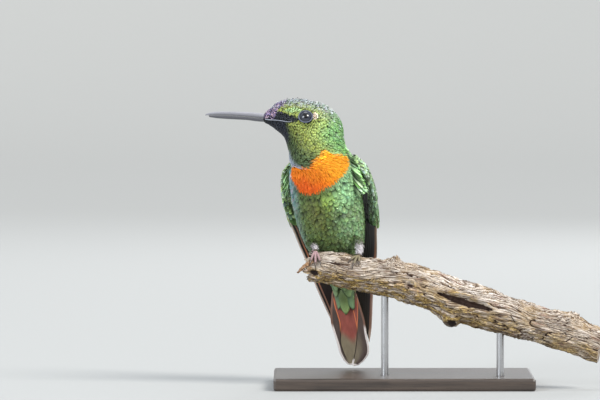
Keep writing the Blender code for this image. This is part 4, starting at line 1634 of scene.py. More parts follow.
@dataclass
class Body:
    """Skin, face and coat of head, neck and trunk."""

    form: BodyForm
    eyes: list[Eye]
    markings: Markings
    last_station: float = 17.9
    # Depth of the skin under the coat, by station
    depths: tuple[Row, Row] = (
        (0, 0.8, 2, 4, 6, 8, 10, 15, 17, 18), (0.10, 0.2, 0.28, 0.36, 0.5, 0.7, 0.9, 0.9, 0.8, 0.5),
    )
    # Gap between feather roots, by station
    gaps: tuple[Row, Row] = (
        (0, 1, 2.5, 4, 5.5, 7, 8.5, 10, 12, 15, 18),
        (0.29, 0.31, 0.35, 0.41, 0.48, 0.56, 0.66, 0.78, 0.86, 0.88, 0.80),
    )
    band_gap: float = 0.33
    # Stations and angles of the corner line of the mouth
    gape: Array = table((0.35, 112), (0.875, 114), (1.6, 111), (2.4, 106), (3.125, 101), (3.6, 92))

    def near_eye(self, place: Array) -> Array:
        """Distance of places to the nearer eye's axis, on its own side of the head."""
        there = (eye.off_axis(place) for eye in self.eyes)
        return np.minimum(*(np.where(height > 0, distance, 99.0) for distance, height in there))

    def depth(self, station: Array) -> Array:
        """Depth of the skin under the form."""
        return np.interp(station, *self.depths)

    def make_skin(self) -> None:
        """One skin from the bill to the tail: the form sunk by the coat's depth, and eye sockets.

        Where the surface lies within the lids' ring of an eye's axis it is pulled in along the
        axis, by a soft step, so that it passes behind the globe's rim.
        """
        along, across = around(0, 18, 260, 128)
        basis = self.form.basis(along, across)
        crease = 0.05 * ripple(along * 3.1, across * 6, 3) * soft(along, 0.5, 2)
        points = basis.point + basis.outward * (crease - self.depth(along))[..., None]
        for eye in self.eyes:
            distance, height = eye.off_axis(points)
            pull = (1 - soft(distance, eye.seen_radius - 0.1, eye.seen_radius + 0.5)) * (height > 0)
            points = points - eye.axis * (0.9 * pull)[..., None]
        tints = self.markings.tint(basis.point, along, across) * 0.55
        unwrap = np.stack([across / (2 * math.pi), along / 18], -1) * 0.98 + 0.01
        skin = Sheet.rings(points, {"OFBake": unwrap}, tints)
        write_piece("skin", skin, SKIN, ("head", "neck", "trunk"))

    def spacing(self, place: Array, station: Array, angle: Array) -> Array:
        """Millimetres between feather roots: by station, finer round the eyes and in the band."""
        gap = np.interp(station, *self.gaps)
        gap = gap + (self.band_gap - gap) * soft(self.markings.band(place, station, 0.8), 0.1, 0.6)
        return gap + (0.28 - gap) * (1 - soft(self.near_eye(place), 2.5, 4.2))

    def allowed(self, place: Array, station: Array, angle: Array) -> Array:
        """Whether a feather may root there: not in an eye's lids or under the tail's coverts."""
        from_back = np.abs(np.degrees(angle))
        under = ((station > 16.1) & (from_back > 100)) | ((station > 17.0) & (from_back > 55))
        return ((self.near_eye(place) > self.eyes[0].seen_radius + 0.42) & ~under).astype(float)

    def tufts(self) -> tuple[Tufts, Array]:
        """All the body's feathers, and how far each is inside the breast band."""
        pick = np.random.default_rng(SEED)
        ends = ((0.12, self.last_station), (-math.pi, math.pi))
        along, across = scatter(self.form, *ends, self.spacing, SEED, self.allowed)
        count = len(along)
        root = self.form.basis(along, across)
        from_back = np.abs(np.degrees(across))
        gap = self.spacing(root.point, along, across)
        band = self.markings.band(root.point, along, 0.35)
        size = np.exp(pick.normal(0, 0.10, count))
        length = gap * np.interp(along, (0, 3, 7, 10, 18), (2.5, 3.1, 3.6, 4.1, 4.3)) * size
        width = gap * np.interp(along, (0, 4, 10, 18), (1.9, 2.2, 2.45, 2.5)) * size
        length, width = np.where(band > 0.5, 2.3 * size, length), np.where(band > 0.5, 0.58 * size, width)
        near = self.near_eye(root.point)
        length = np.where(near < 4.0, length * (0.55 + 0.45 * soft(near, 2.2, 4.0)), length)
        lift = 0.02 + np.abs(pick.normal(0, 0.055, count)) * np.interp(along, (0, 4, 10), (0.6, 0.8, 1.6))
        crest = soft(along, 1.3, 2.1) * (1 - soft(along, 3.6, 4.4)) * (1 - soft(from_back, 35, 65))
        lift = lift + crest * np.abs(pick.normal(0.05, 0.24, count))
        length = length * (1 + 0.35 * crest)
        turn = pick.normal(0, 0.12, count) + crest * pick.normal(0, 0.2, count)
        seen_along = along + 0.75 * length / root.flow_rate
        tint = self.markings.tint(self.form.place(seen_along, across), seen_along, across)
        tint = self.speckle(tint, along, band, from_back, pick)
        return Tufts(along, across, length, width, self.depth(along) + 0.04, lift, turn, tint), band

    def speckle(
        self, tint: Array, along: Array, band: Array, from_back: Array, pick: np.random.Generator,
    ) -> Array:
        """Each feather's own shade: brighter or darker, yellower or bluer, and pink in the frontlet, with a
        painted sheen on the crown and a painted rim light under the throat.

        Args:
            tint: the markings' colours.
            along: stations of the roots.
            band: how far each is inside the breast band.
            from_back: angles from the back, in degrees.
            pick: draws the shades.

        Returns:
            The feathers' colours.
        """
        count = len(tint)
        bright = np.exp(pick.normal(0, np.where(band > 0.5, 0.07, 0.17)))[:, None]
        hue = pick.normal(0, np.where(band > 0.5, 0.02, 0.045))
        tint = tint * bright * np.stack([1 + hue, np.ones(count), 1 - hue * 1.4], 1)
        frontlet = np.exp(-np.sum((tint / bright - Pigment.VIOLET.value) ** 2, 1) / 0.03)
        # Painted sheen: some of the crown's feathers are tinted pale silver for the light on them
        crown = (1 - soft(from_back, 22, 62)) * soft(along, 1.6, 2.8)
        # Painted rim light: a pale blue band along the lower edge of the throat and neck
        rim = soft(from_back, 150, 172) * soft(along, 3.6, 5.2) * (1 - soft(along, 7.4, 8.6)) * (band < 0.3)
        tint = lay(
            tint,
            (frontlet * (pick.random(count) < 0.4), Pigment.PINK),
            (0.85 * frontlet * (pick.random(count) < 0.28), Pigment.CHIN),
            (0.6 * crown * (pick.random(count) < 0.36 - 0.28 * soft(along, 4, 7)), Pigment.PAINTED_SILVER_SHEEN),
            (0.8 * rim, Pigment.PAINTED_RIM_LIGHT),
        )
        return np.clip(tint, 0.002, 0.95)

    def make_coat(self) -> None:
        """The coat in tracts: face, head, breast band, breast and back."""
        tufts, band = self.tufts()
        rate = self.form.basis(tufts.along, tufts.across).flow_rate
        tips = self.form.place(tufts.along + tufts.length / rate, tufts.across)
        clear = self.near_eye(tips) > self.eyes[0].seen_radius + 0.2
        in_band, on_back = band > 0.5, np.abs(np.degrees(tufts.across)) <= 80
        face, head = (~in_band & (tufts.along < end) for end in (3.2, 8.2))
        trunk = ~in_band & ~head
        lance = Cut(Outline.LANCE, fray=0.05, thickness=0.05)
        tracts = (
            ("coat_face", face, Cut(rise=0.6, fray=0.05), PLUME_HEAD, "plumage_green"),
            ("coat_head", head & ~face, Cut(rise=0.7, fray=0.05), PLUME_HEAD, "plumage_green"),
            ("coat_breast_band", in_band, lance, PLUME_BAND, "plumage_breast"),
            ("coat_belly", trunk & ~on_back, Cut(fray=0.06), PLUME_BODY, "plumage_green"),
            ("coat_back", trunk & on_back, Cut(fray=0.05), PLUME_BODY, "plumage_green"),
        )
        for number, (name, chosen, cut, finish, slot) in enumerate(tracts):
            write_piece(name, grow(self.form, tufts.pick(chosen & clear), cut, SEED + number), finish)

    def make_scapulars(self) -> None:
        """Mantle feathers that lead from the neck's sides out over the shoulders of the wings.

        Their tips rise over the body by as much as the wing's front edge stands off it there.
        """
        pick = np.random.default_rng(SEED + 20)
        count, inmost = 400, 38
        for side, hand in SIDES:
            along = pick.uniform(7.9, 10.4, count)
            outmost = np.interp(along, (7.9, 8.5, 9.0, 9.5, 10.4), (44, 54, 70, 88, 108))
            angle = inmost + pick.random(count) * (outmost - inmost)
            reach = np.interp(along, (7.9, 9.0, 10.3), (0.25, 1.5, 2.9))
            reach = reach * np.interp(angle, (38, 62, 92, 112), (0.25, 1.0, 1.0, 0.2))
            size = np.exp(pick.normal(0, 0.1, count)) * np.interp(along, (7.9, 10.3), (0.8, 1.15))
            tint = lay(
                Pigment.SCAPULAR,
                (pick.random(count) ** 2, Pigment.BACK),
                (0.7 * (pick.random(count) < 0.34), Pigment.DUSK),
                # Painted highlight: about a quarter of the feathers are paled bluish white
                (0.35 * (pick.random(count) < 0.25), Pigment.PAINTED_COVERT_HIGHLIGHT),
            )
            # Painted shade: the feathers on the bird's right side are made darker overall
            tint = tint * np.exp(pick.normal(0 if hand > 0 else -0.2, 0.2, count))[:, None]
            tufts = Tufts(
                along, np.radians(angle) * hand, 4.2 * size, 1.15 * size, np.full(count, 0.5),
                0.1 + reach * pick.uniform(0.8, 1.1, count), hand * pick.normal(0.12, 0.1, count),
                np.clip(tint, 0.003, 0.9),
            )
            sheet = grow(self.form, tufts, Cut(fray=0.04, rise=1.15), SEED + 21)
            write_piece(f"coat_scapulars_{side}", sheet, PLUME_MANTLE)

    def make_crest(self) -> None:
        """Hair-like ruffled tips that stand off the forehead and the crown."""
        pick = np.random.default_rng(SEED + 24)
        count = 520
        along, angle = pick.uniform(0.9, 4.2, count), pick.normal(0, 28, count)
        share = np.interp(along, (1.1, 2.2, 3.4, 4.6), (0.5, 1.0, 0.7, 0.25))
        # Painted sheen: most wisps are tinted pale silver for the light on them, the rest dark or violet
        tint = lay(
            Pigment.PAINTED_SILVER_SHEEN,
            (pick.random(count) < 0.4, Pigment.CHIN),
            ((along < 2.6) * (pick.random(count) < 0.5), Pigment.VIOLET),
        )
        tufts = Tufts(
            along, np.radians(angle), pick.uniform(1.2, 2.5, count), pick.uniform(0.14, 0.3, count),
            np.full(count, 0.2), np.abs(pick.normal(0.35, 0.38, count)) * share,
            pick.normal(0, 0.35, count), tint,
        )
        sheet = grow(self.form, tufts, Cut(Outline.WISP, thickness=0.04, fray=0.05, rise=1.6), SEED + 25)
        write_piece("coat_crest", sheet, PLUME_HEAD)

    def make_vent_coverts(self) -> None:
        """The big soft coverts over and under the tail's root, in overlapping rows."""
        pick = np.random.default_rng(SEED + 30)
        # Station, how many, degrees between, length and width of each row
        under = (
            (15.2, 7, 34, 4.4, 3.0), (15.7, 6, 34, 5.2, 3.2), (16.1, 4, 44, 5.4, 3.6),
            (16.5, 2, 80, 6.0, 5.0), (16.95, 3, 56, 8.8, 6.0),
        )
        over = (
            (14.8, 7, 34, 5.0, 3.2), (15.4, 6, 36, 5.6, 3.4), (16.0, 5, 38, 6.4, 3.6),
            (16.5, 4, 44, 7.4, 3.8), (17.0, 3, 34, 8.0, 4.0),
        )
        # Name, angle of the middle, rows, and the pigments of the middle and of the sides
        tracts = (
            ("coat_undertail", 180.0, under, Pigment.UNDERTAIL, Pigment.TEAL),
            ("coat_uppertail", 0.0, over, Pigment.RUMP, Pigment.TAIL_GREEN),
        )
        cut = Cut(Outline.DIAMOND, camber=0.05, thickness=0.08, fray=0.012, rise=0.25)
        for name, middle, rows, first, second in tracts:
            values = []
            for number, (station, count, gap, length, width) in enumerate(rows):
                sink = 0.75 - 0.35 * number / (len(rows) - 1)
                for place in np.arange(count) - (count - 1) / 2:
                    off = abs(place)
                    angle = math.radians(middle + place * gap + pick.normal(0, 3))
                    tint = lay(first, (min(off / 1.6, 1.0), second))
                    lift = 0.16 + 0.05 * pick.random()
                    row = (station - off * 0.12, angle, length - off * 0.6, width, sink, lift, -place * 0.05)
                    values.append((*row, *tint))
            values = np.array(values)
            sheet = grow(self.form, Tufts(*values[:, :7].T, values[:, 7:]), cut, SEED + 31)
            write_piece(name, sheet, PLUME_COVERT)

    def make_gape(self) -> None:
        """The pale corner line of the mouth on each side: a slim tube along the face."""
        station, angle = catmull(self.gape, np.linspace(0, len(self.gape) - 1, 22)).T
        for side, hand in SIDES:
            there = self.form.basis(station, np.radians(angle) * hand)
            line = TubeForm(there.point + there.outward * 0.02, (0.16, 0.17, 0.14, 0.10, 0.05))
            sheet = Sheet.rings(line.place(*around(0, 1, 60, 12)), tints=Pigment.GAPE.value)
            write_piece(f"gape_{side}", sheet, LID, outward=True)


@dataclass
class Bill:
    """Upper and lower bill: a rounded culmen, a groove by the nostril and a fine cutting edge."""

    # X, culmen, cutting edge and lower edge, and half width
    rows: Array = table(
        (-44.6, 88.5, 86.95, 85.75, 1.4), (-47.3, 88.75, 87.1, 85.95, 1.2), (-51.0, 89.0, 87.5, 86.4, 1.05),
        (-56.5, 89.15, 87.85, 86.7, 0.95), (-60.0, 89.1, 88.0, 86.95, 0.85), (-62.1, 88.9, 88.0, 87.25, 0.65),
        (-63.4, 88.5, 87.9, 87.4, 0.45), (-64.08, 88.15, 87.85, 87.6, 0.16),
    )
    middle: float = -10.0
    lower_ends: float = 5.6  # row where the shorter lower bill ends
    parting: float = 0.05  # half the dark line between the two

    def make(self) -> None:
        """Both halves: half ellipses on the cutting edge, narrowed to a ridge along the culmen.

        At angle a from the left edge over the ridge, a point lies w cos a sideways and
        h sin a to the power 0.85 up. A shallow groove runs back from the nostril.
        """
        arc = np.linspace(0, math.pi, 25)
        for name, node, last, rise in (
            ("bill_top", "bill_upper", len(self.rows) - 1.0, 1),
            ("bill_under", "bill_lower", self.lower_ends, -1),
        ):
            at = np.linspace(0, last, 90)
            x, top, edge, bottom, width = catmull(self.rows, at).T[:, :, None]
            height = np.maximum(top - edge if rise > 0 else edge - bottom, 0.12) - self.parting
            taper = np.sqrt(np.clip((last - at) / 0.25, 0.02, 1))[:, None]
            across = width * np.cos(arc) * (1.0 if rise > 0 else 0.93) * taper
            groove = (bell(arc, 0.75, 0.16) + bell(arc, math.pi - 0.75, 0.16)) * bell(x, -45.5, 3.4)
            up = height * np.sin(arc) ** 0.85 * taper - 0.13 * groove * (rise > 0)
            up = edge + rise * (self.parting + up)
            rings = np.stack(np.broadcast_arrays(x, self.middle + across, up), -1)
            # Painted highlight along the top of the upper bill, faint on the lower bill
            pale = np.clip(np.sin(arc) * (1.0 if rise > 0 else 0.12), 0, 1)
            half = Sheet.rings(rings, marks={"Pale": pale})
            write_piece(name, half, BILL, (node,), outward=True)


@dataclass
class Leg:
    """One feathered leg and its foot: a down puff, four scaled toes and four curved claws."""

    side: str
    hand: int  # 1 on the bird's left, -1 on its right
    station: float
    turn: float  # from the belly's middle, in degrees
    foot_x: float
    ankle_turn: float  # from the perch's top towards the front, in degrees
    toes: tuple[tuple[float, float], ...]  # shift along the perch and end angle of each toe
    toe_skin: Pigment
    green: float  # share of the shin where the belly's green gives way to white
    fullness: float  # of the down
    body: BodyForm
    perch: PerchForm
    toe_radius: float = 0.42
    clear: float = 0.05  # of the toes off the bark
    ankle_radius: float = 0.62
    claw_share: float = 0.66  # of a toe's run where the claw starts

    def ankle(self) -> tuple[Array, Array]:
        """The ankle's centre and the shin's direction there."""
        x, angle = self.foot_x, math.radians(self.ankle_turn)
        centre = self.perch.raised(x, angle, 1.1)
        rise = unit(self.perch.raised(x, angle, 2.1) - centre) * 0.62
        return centre, unit(rise + unit(self.perch.raised(x, angle - 0.1, 1.1) - centre) * 0.38)

    def path(self) -> Array:
        """The leg's middle line: a Bezier curve from inside the belly to the ankle."""
        angle = np.array(math.pi - self.hand * math.radians(self.turn))
        root = self.body.basis(np.array(self.station), angle)
        ankle, rise = self.ankle()
        t = np.linspace(0, 1, 14)[:, None]
        return (
            (root.point - root.outward * 0.9) * (1 - t) ** 3
            + (root.point + root.outward * 1.6) * 3 * t * (1 - t) ** 2
            + (ankle + rise * 2.0) * 3 * t**2 * (1 - t)
            + (ankle + rise * 0.3) * t**3
        )

    def make_puff(self) -> None:
        """The shin's skin, and down round it: wisps that hang along it and stand off a little."""
        path = self.path()
        shin = TubeForm(path, (0.85, 0.75, 0.62, 0.45))
        sheet = Sheet.rings(shin.place(*around(0, 1, 24, 16)), tints=Pigment.DOWN_BROWN.value)
        write_piece(f"shin_{self.side}", sheet, SKIN, (f"leg_{self.side}",), outward=True)
        coat = TubeForm(path, self.fullness * np.array((1.2, 1.25, 1.1, 0.85)))
        pick = np.random.default_rng(SEED + 40 + self.hand)
        ends = ((0.05, 0.95), (0, 2 * math.pi))
        along, across = scatter(coat, *ends, lambda place, u, v: np.full(u.shape, 0.2), SEED + 41)
        count = len(along)
        brown = (1 - soft(along, self.green, self.green + 0.25)) * pick.uniform(0.1, 0.9, count)
        green = 1 - soft(along + pick.normal(0, 0.05, count), self.green - 0.1, self.green + 0.05)
        tint = lay(Pigment.DOWN, (brown, Pigment.DOWN_BROWN), (green, Pigment.VENT))
        tint = tint * np.exp(pick.normal(-0.02, 0.08, count))[:, None]
        loose = pick.random(count) < 0.4
        length = pick.uniform(1.2, 2.0, count) * (1 - 0.3 * along) * np.where(loose, 1.9, 1.0)
        tufts = Tufts(
            along, across, length, np.where(loose, 0.12, pick.uniform(0.2, 0.36, count)), np.full(count, 0.4),
            np.abs(pick.normal(0.03, 0.10, count)) * np.where(loose, 3.0, 1.0), pick.normal(0, 0.28, count),
            np.clip(tint, 0, 0.97),
        )
        down = grow(coat, tufts, Cut(Outline.WISP, thickness=0.05, fray=0.1), SEED + 42)
        write_piece(f"down_{self.side}", down, DOWN)

    def toe_path(self, shift: float, reach: float, share: Array, lift: Array) -> Array:
        """Points of one toe over the bark, from the ankle to the claw's tip.

        Args:
            shift: of its tip along the perch, in millimetres.
            reach: angle of its tip round the perch, in degrees.
            share: shares of the way.
            lift: millimetres off the bark.

        Returns:
            The points.
        """
        turns = np.radians(self.ankle_turn + (reach - self.ankle_turn) * share)
        path = self.perch.raised(self.foot_x + shift * share**0.7, turns, lift)
        return path + (self.ankle()[0] - path) * (1 - soft(share, 0.0, 0.28))[:, None] * 0.9

    def make_foot(self) -> None:
        """Toes with raised scales over the top, pads below, and claws that curve into the bark."""
        ankle, rise = self.ankle()
        polar = np.linspace(0.05, math.pi - 0.05, 14)
        radii, heights = self.ankle_radius * np.sin(polar), self.ankle_radius * 1.1 * np.cos(polar)
        toes = [Sheet.rings(revolve(ankle, rise, radii, heights, 20), tints=Pigment.TOE_DARK.value)]
        claws = []
        along, across = around(0, 1, 70, 18)
        scales = np.abs(np.sin(math.pi * along * 11)) ** 0.6
        for shift, reach in self.toes:
            share = np.linspace(0, self.claw_share + 0.05, 22)
            arch = 0.25 * np.sin(math.pi * np.clip(share / self.claw_share, 0, 1)) ** 2
            path = self.toe_path(shift, reach, share, self.clear + self.toe_radius + arch)
            toe = TubeForm(path, self.toe_radius * np.array((1.15, 1.0, 0.95, 0.98, 0.9, 0.72)))
            there = toe.basis(along, across)
            points = there.point + there.outward * (0.07 * scales - 0.03)[..., None]
            away = unit(points - self.perch.middle(points[..., 0])[0])
            top = soft(np.sum(there.outward * away, -1), -0.1, 0.8) * (1 - 0.5 * along)
            top = top * (0.35 + 0.65 * scales)
            toes.append(Sheet.rings(points, tints=lay(Pigment.TOE_DARK, (top, self.toe_skin))))
            t = np.linspace(0, 1, 14)
            hook = self.clear + self.toe_radius * (1 - t) + 0.42 * np.sin(math.pi * t) + 0.05
            path = self.toe_path(shift, reach, np.linspace(self.claw_share - 0.03, 1.0, 14), hook)
            claw = TubeForm(path, self.toe_radius * np.array((0.78, 0.62, 0.42, 0.1)))
            # Painted highlight on each claw, strongest at its root
            pale = np.linspace(0.7, 0.0, 24)[:, None]
            claws.append(Sheet.rings(claw.place(*around(0, 1, 24, 12)), marks={"Pale": pale}))
        nodes = (f"foot_{self.side}",)
        write_piece(f"toes_{self.side}", Sheet.join(toes), LID, nodes, outward=True)
        write_piece(f"claws_{self.side}", Sheet.join(claws), CLAW, outward=True)


@dataclass
class Wing:
    """One folded wing: its rounded front part, coverts, ten primaries and seven secondaries."""

    side: str
    hand: int
    arm_ends: tuple[float, float] = (9.25, 12.9)
    tips: Row = (16.5, 17.0, 17.5, 18.0, 18.5, 18.95, 19.4, 19.75, 20.0, 20.2)
    primary_root: float = 11.4
    secondary_root: float = 11.2
    secondary_tips: Row = (16.3, 16.0, 15.7, 15.4, 15.0, 14.6, 14.2)
    half_width: float = 2.7  # of a primary, in millimetres

    def __post_init__(self) -> None:
        """The sheets that feathers lie on."""
        self.form = WingForm(self.hand)
        self.arm = WingArmForm(self.form)

    def make_arm(self) -> None:
        """The wing's fleshy front part: the covert form drawn in by the coat's depth."""
        start, end = self.arm_ends
        along, across = around(start, end, 60, 64)
        there = self.arm.basis(along, across)
        tint = lay(Pigment.UNDERWING, (self.arm.outer(across), Pigment.COVERT)) * 0.5
        unwrap = np.stack([across / (2 * math.pi), (along - start) / (end - start)], -1) * 0.98 + 0.01
        arm = Sheet.rings(there.point - there.outward * 0.38, {"OFBake": unwrap}, tint)
        nodes = (f"wing_{self.side}_coverts",)
        write_piece(f"wing_arm_{self.side}", arm, SKIN, nodes, outward=True)

    def gap(self, place: Array, along: Array, across: Array) -> Array:
        """Millimetres between the roots of the coverts, by station."""
        return np.interp(along, (9.1, 10.2, 11.4, 12.6), (0.50, 0.60, 0.80, 1.0))

    def make_coverts(self) -> None:
        """Small coverts that grow longer towards the flight feathers, green outside, dusky inside, and on the
        right wing yellower with a painted highlight along the leading edge.
        """
        pick = np.random.default_rng(SEED + 50 + self.hand)
        along, across = scatter(self.arm, (9.15, 12.35), (0, 2 * math.pi), self.gap, SEED + 51)
        outer, count, painted_light_wing = self.arm.outer(across), len(along), self.hand < 0
        gap = self.gap(along, along, across)
        length = gap * np.interp(along, (9.1, 11, 12.4), (3.0, 3.8, 4.6))
        length = length * np.exp(pick.normal(0, 0.08, count))
        # Painted highlight: on the right wing the coverts are made yellower and their leading edge paler, for
        # the light on them
        edge = soft(np.cos(across), 0.35, 0.8) * painted_light_wing * pick.uniform(0.5, 1.0, count)
        tint = lay(
            Pigment.UNDERWING,
            (outer, Pigment.COVERT),
            (0.8 * outer * (1 - soft(along, 9.2, 10.6)), Pigment.SCAPULAR),
            (0.6 * outer * painted_light_wing, Pigment.CHEEK),
            (0.15 * outer, Pigment.LIME),
            (edge, Pigment.BROW),
            (0.8 * outer * (pick.random(count) < 0.42), Pigment.DUSK),
            # Painted highlight: about a fifth of the outer coverts are paled bluish white
            (0.5 * outer * (pick.random(count) < 0.2), Pigment.PAINTED_COVERT_HIGHLIGHT),
            (0.5 * soft(along, 11.4, 12.6) * outer, Pigment.BACK),
        )
        hue = pick.normal(0, 0.07, count)
        tint = tint * np.exp(pick.normal(0, 0.25, count))[:, None]
        tint = tint * np.stack([1 + hue, 1 + 0 * hue, 1 - hue], 1)
        tufts = Tufts(
            along, across, length, gap * 2.3, np.full(count, 0.3), 0.06 + np.abs(pick.normal(0, 0.05, count)),
            pick.normal(0, 0.09, count), np.clip(tint, 0.003, 0.9),
        )
        sheet = grow(self.arm, tufts, Cut(fray=0.03, camber=0.25), SEED + 52)
        write_piece(f"wing_covert_feathers_{self.side}", sheet, PLUME_EDGED)

    def make_great_coverts(self) -> None:
        """A row of long coverts over the roots of the flight feathers, and two of middle ones."""
        pick = np.random.default_rng(SEED + 60 + self.hand)
        values = []
        # Station, how many, length, width and sink of each row
        rows = ((11.5, 13, 5.0, 2.0, 0.15), (10.9, 12, 4.6, 1.9, 0.22), (11.9, 12, 5.0, 2.1, 0.05))
        for station, count, length, width, sink in rows:
            for number, share in enumerate(np.linspace(0.06, 0.94, count)):
                tint = lay(
                    Pigment.COVERT,
                    (0.55 + 0.25 * pick.random(), Pigment.BACK),
                    # Painted highlight: each feather is paled bluish white by a random share
                    (0.35 * pick.random(), Pigment.PAINTED_COVERT_HIGHLIGHT),
                    (0.55 * (number % 2), Pigment.DUSK),
                )
                at = (station + 0.1 * math.sin(9 * share), -self.hand * math.acos(1 - 2 * share))
                values.append((*at, length, width, sink, 0.22, pick.normal(0, 0.04), *tint))
        values = np.array(values)
        cut = Cut(Outline.LEAF, camber=0.14, thickness=0.10, fray=0.01, rise=0.9)
        sheet = grow(self.arm, Tufts(*values[:, :7].T, values[:, 7:]), cut, SEED + 61)
        write_piece(f"wing_great_coverts_{self.side}", sheet, PLUME_COVERT)

    def tint(self, down: Array, share: Array, above: Array) -> Array:
        """Dusky brown vanes, darker inwards, with a bronzy outer side.

        Args:
            down: shares of a vane's length.
            share: shares of its width.
            above: whether each place is on the upper face.

        Returns:
            Linear colours.
        """
        inside = above if self.hand > 0 else ~above
        brown = np.where(inside[..., None], Pigment.QUILL.value, Pigment.QUILL_BACK.value)
        return brown * (1.15 - 0.5 * share + 0.15 * down)[..., None]

    def primary(self, inwards: int, tip: float) -> LongVane:
        """One primary. Its leading edge lies a step behind the next one's.

        The step goes from 0.03 of the chord at its root to 0.05. The width is even and ends in a
        quarter ellipse.

        Args:
            inwards: its place, counted from the outermost.
            tip: the station where it ends.

        Returns:
            The vane.
        """
        root = self.primary_root + 0.8 * (inwards < 2)
        station = root + (tip - root) * np.linspace(0, 1, 64) ** 0.9
        chord = self.form.chord(station)
        step = np.interp(station, (self.primary_root, 15, 19), (0.030, 0.046, 0.05))
        lead = np.minimum(inwards * step, 0.8)
        wide = 2 * self.half_width * (1 + 0.1 * inwards)
        wide = wide * np.interp(station, (11.4, 13, 18, 20.2), (0.5, 1, 0.95, 0.62))
        trail = lead + np.minimum(wide, 1.14 * chord) / chord
        trail = np.minimum(trail, 1.0 + 0.14 * soft(station, 14.5, 16.5))
        outwards = (-0.55 + 0.105 * inwards) * np.interp(station, (11.4, 13.2, 19.5), (0.1, 1.0, 0.55))
        return LongVane(
            station, lead, trail, rounded(station, tip, 1.15), -self.hand * outwards, 0.38 + 0.05 * inwards,
            rim_side=self.hand if inwards > 1 or self.hand < 0 else 0,
            # Painted light: the left wing's pale rims and shaft lines are drawn three times wider, to
            # brighten its shaded lower face
            line_width=3.0 if self.hand > 0 else 1.1,
        )

    def secondary(self, number: int, tip: float) -> LongVane:
        """One secondary, counted from the primaries on, which ends at a station.

        Args:
            number: its place, from 0 next to the primaries.
            tip: the station where it ends.

        Returns:
            The vane.
        """
        station = np.linspace(self.secondary_root, tip, 48)
        lead = 0.44 + number * 0.055 + 0 * station
        trail = np.minimum(lead + 4.0 / self.form.chord(station), 1.0)
        return LongVane(
            station, lead, trail, rounded(station, tip, 1.0), -self.hand * (0.5 + 0.07 * number),
            shaft_at=0.4, rim_side=self.hand,
        )

    def make_flight(self) -> None:
        """Primaries and secondaries, stacked from the innermost outside to the outermost inside."""
        vanes = [self.primary(len(self.tips) - 1 - number, tip) for number, tip in enumerate(self.tips)]
        vanes += [self.secondary(number, tip) for number, tip in enumerate(self.secondary_tips)]
        whole = Sheet.join([
            vane.sheet(self.form, strip, len(vanes), self.tint) for strip, vane in enumerate(vanes)
        ])
        nodes = (f"wing_{self.side}_primaries", f"wing_{self.side}_secondaries")
        write_piece(f"flight_feathers_{self.side}", whole, FLIGHT, nodes, outward=True)


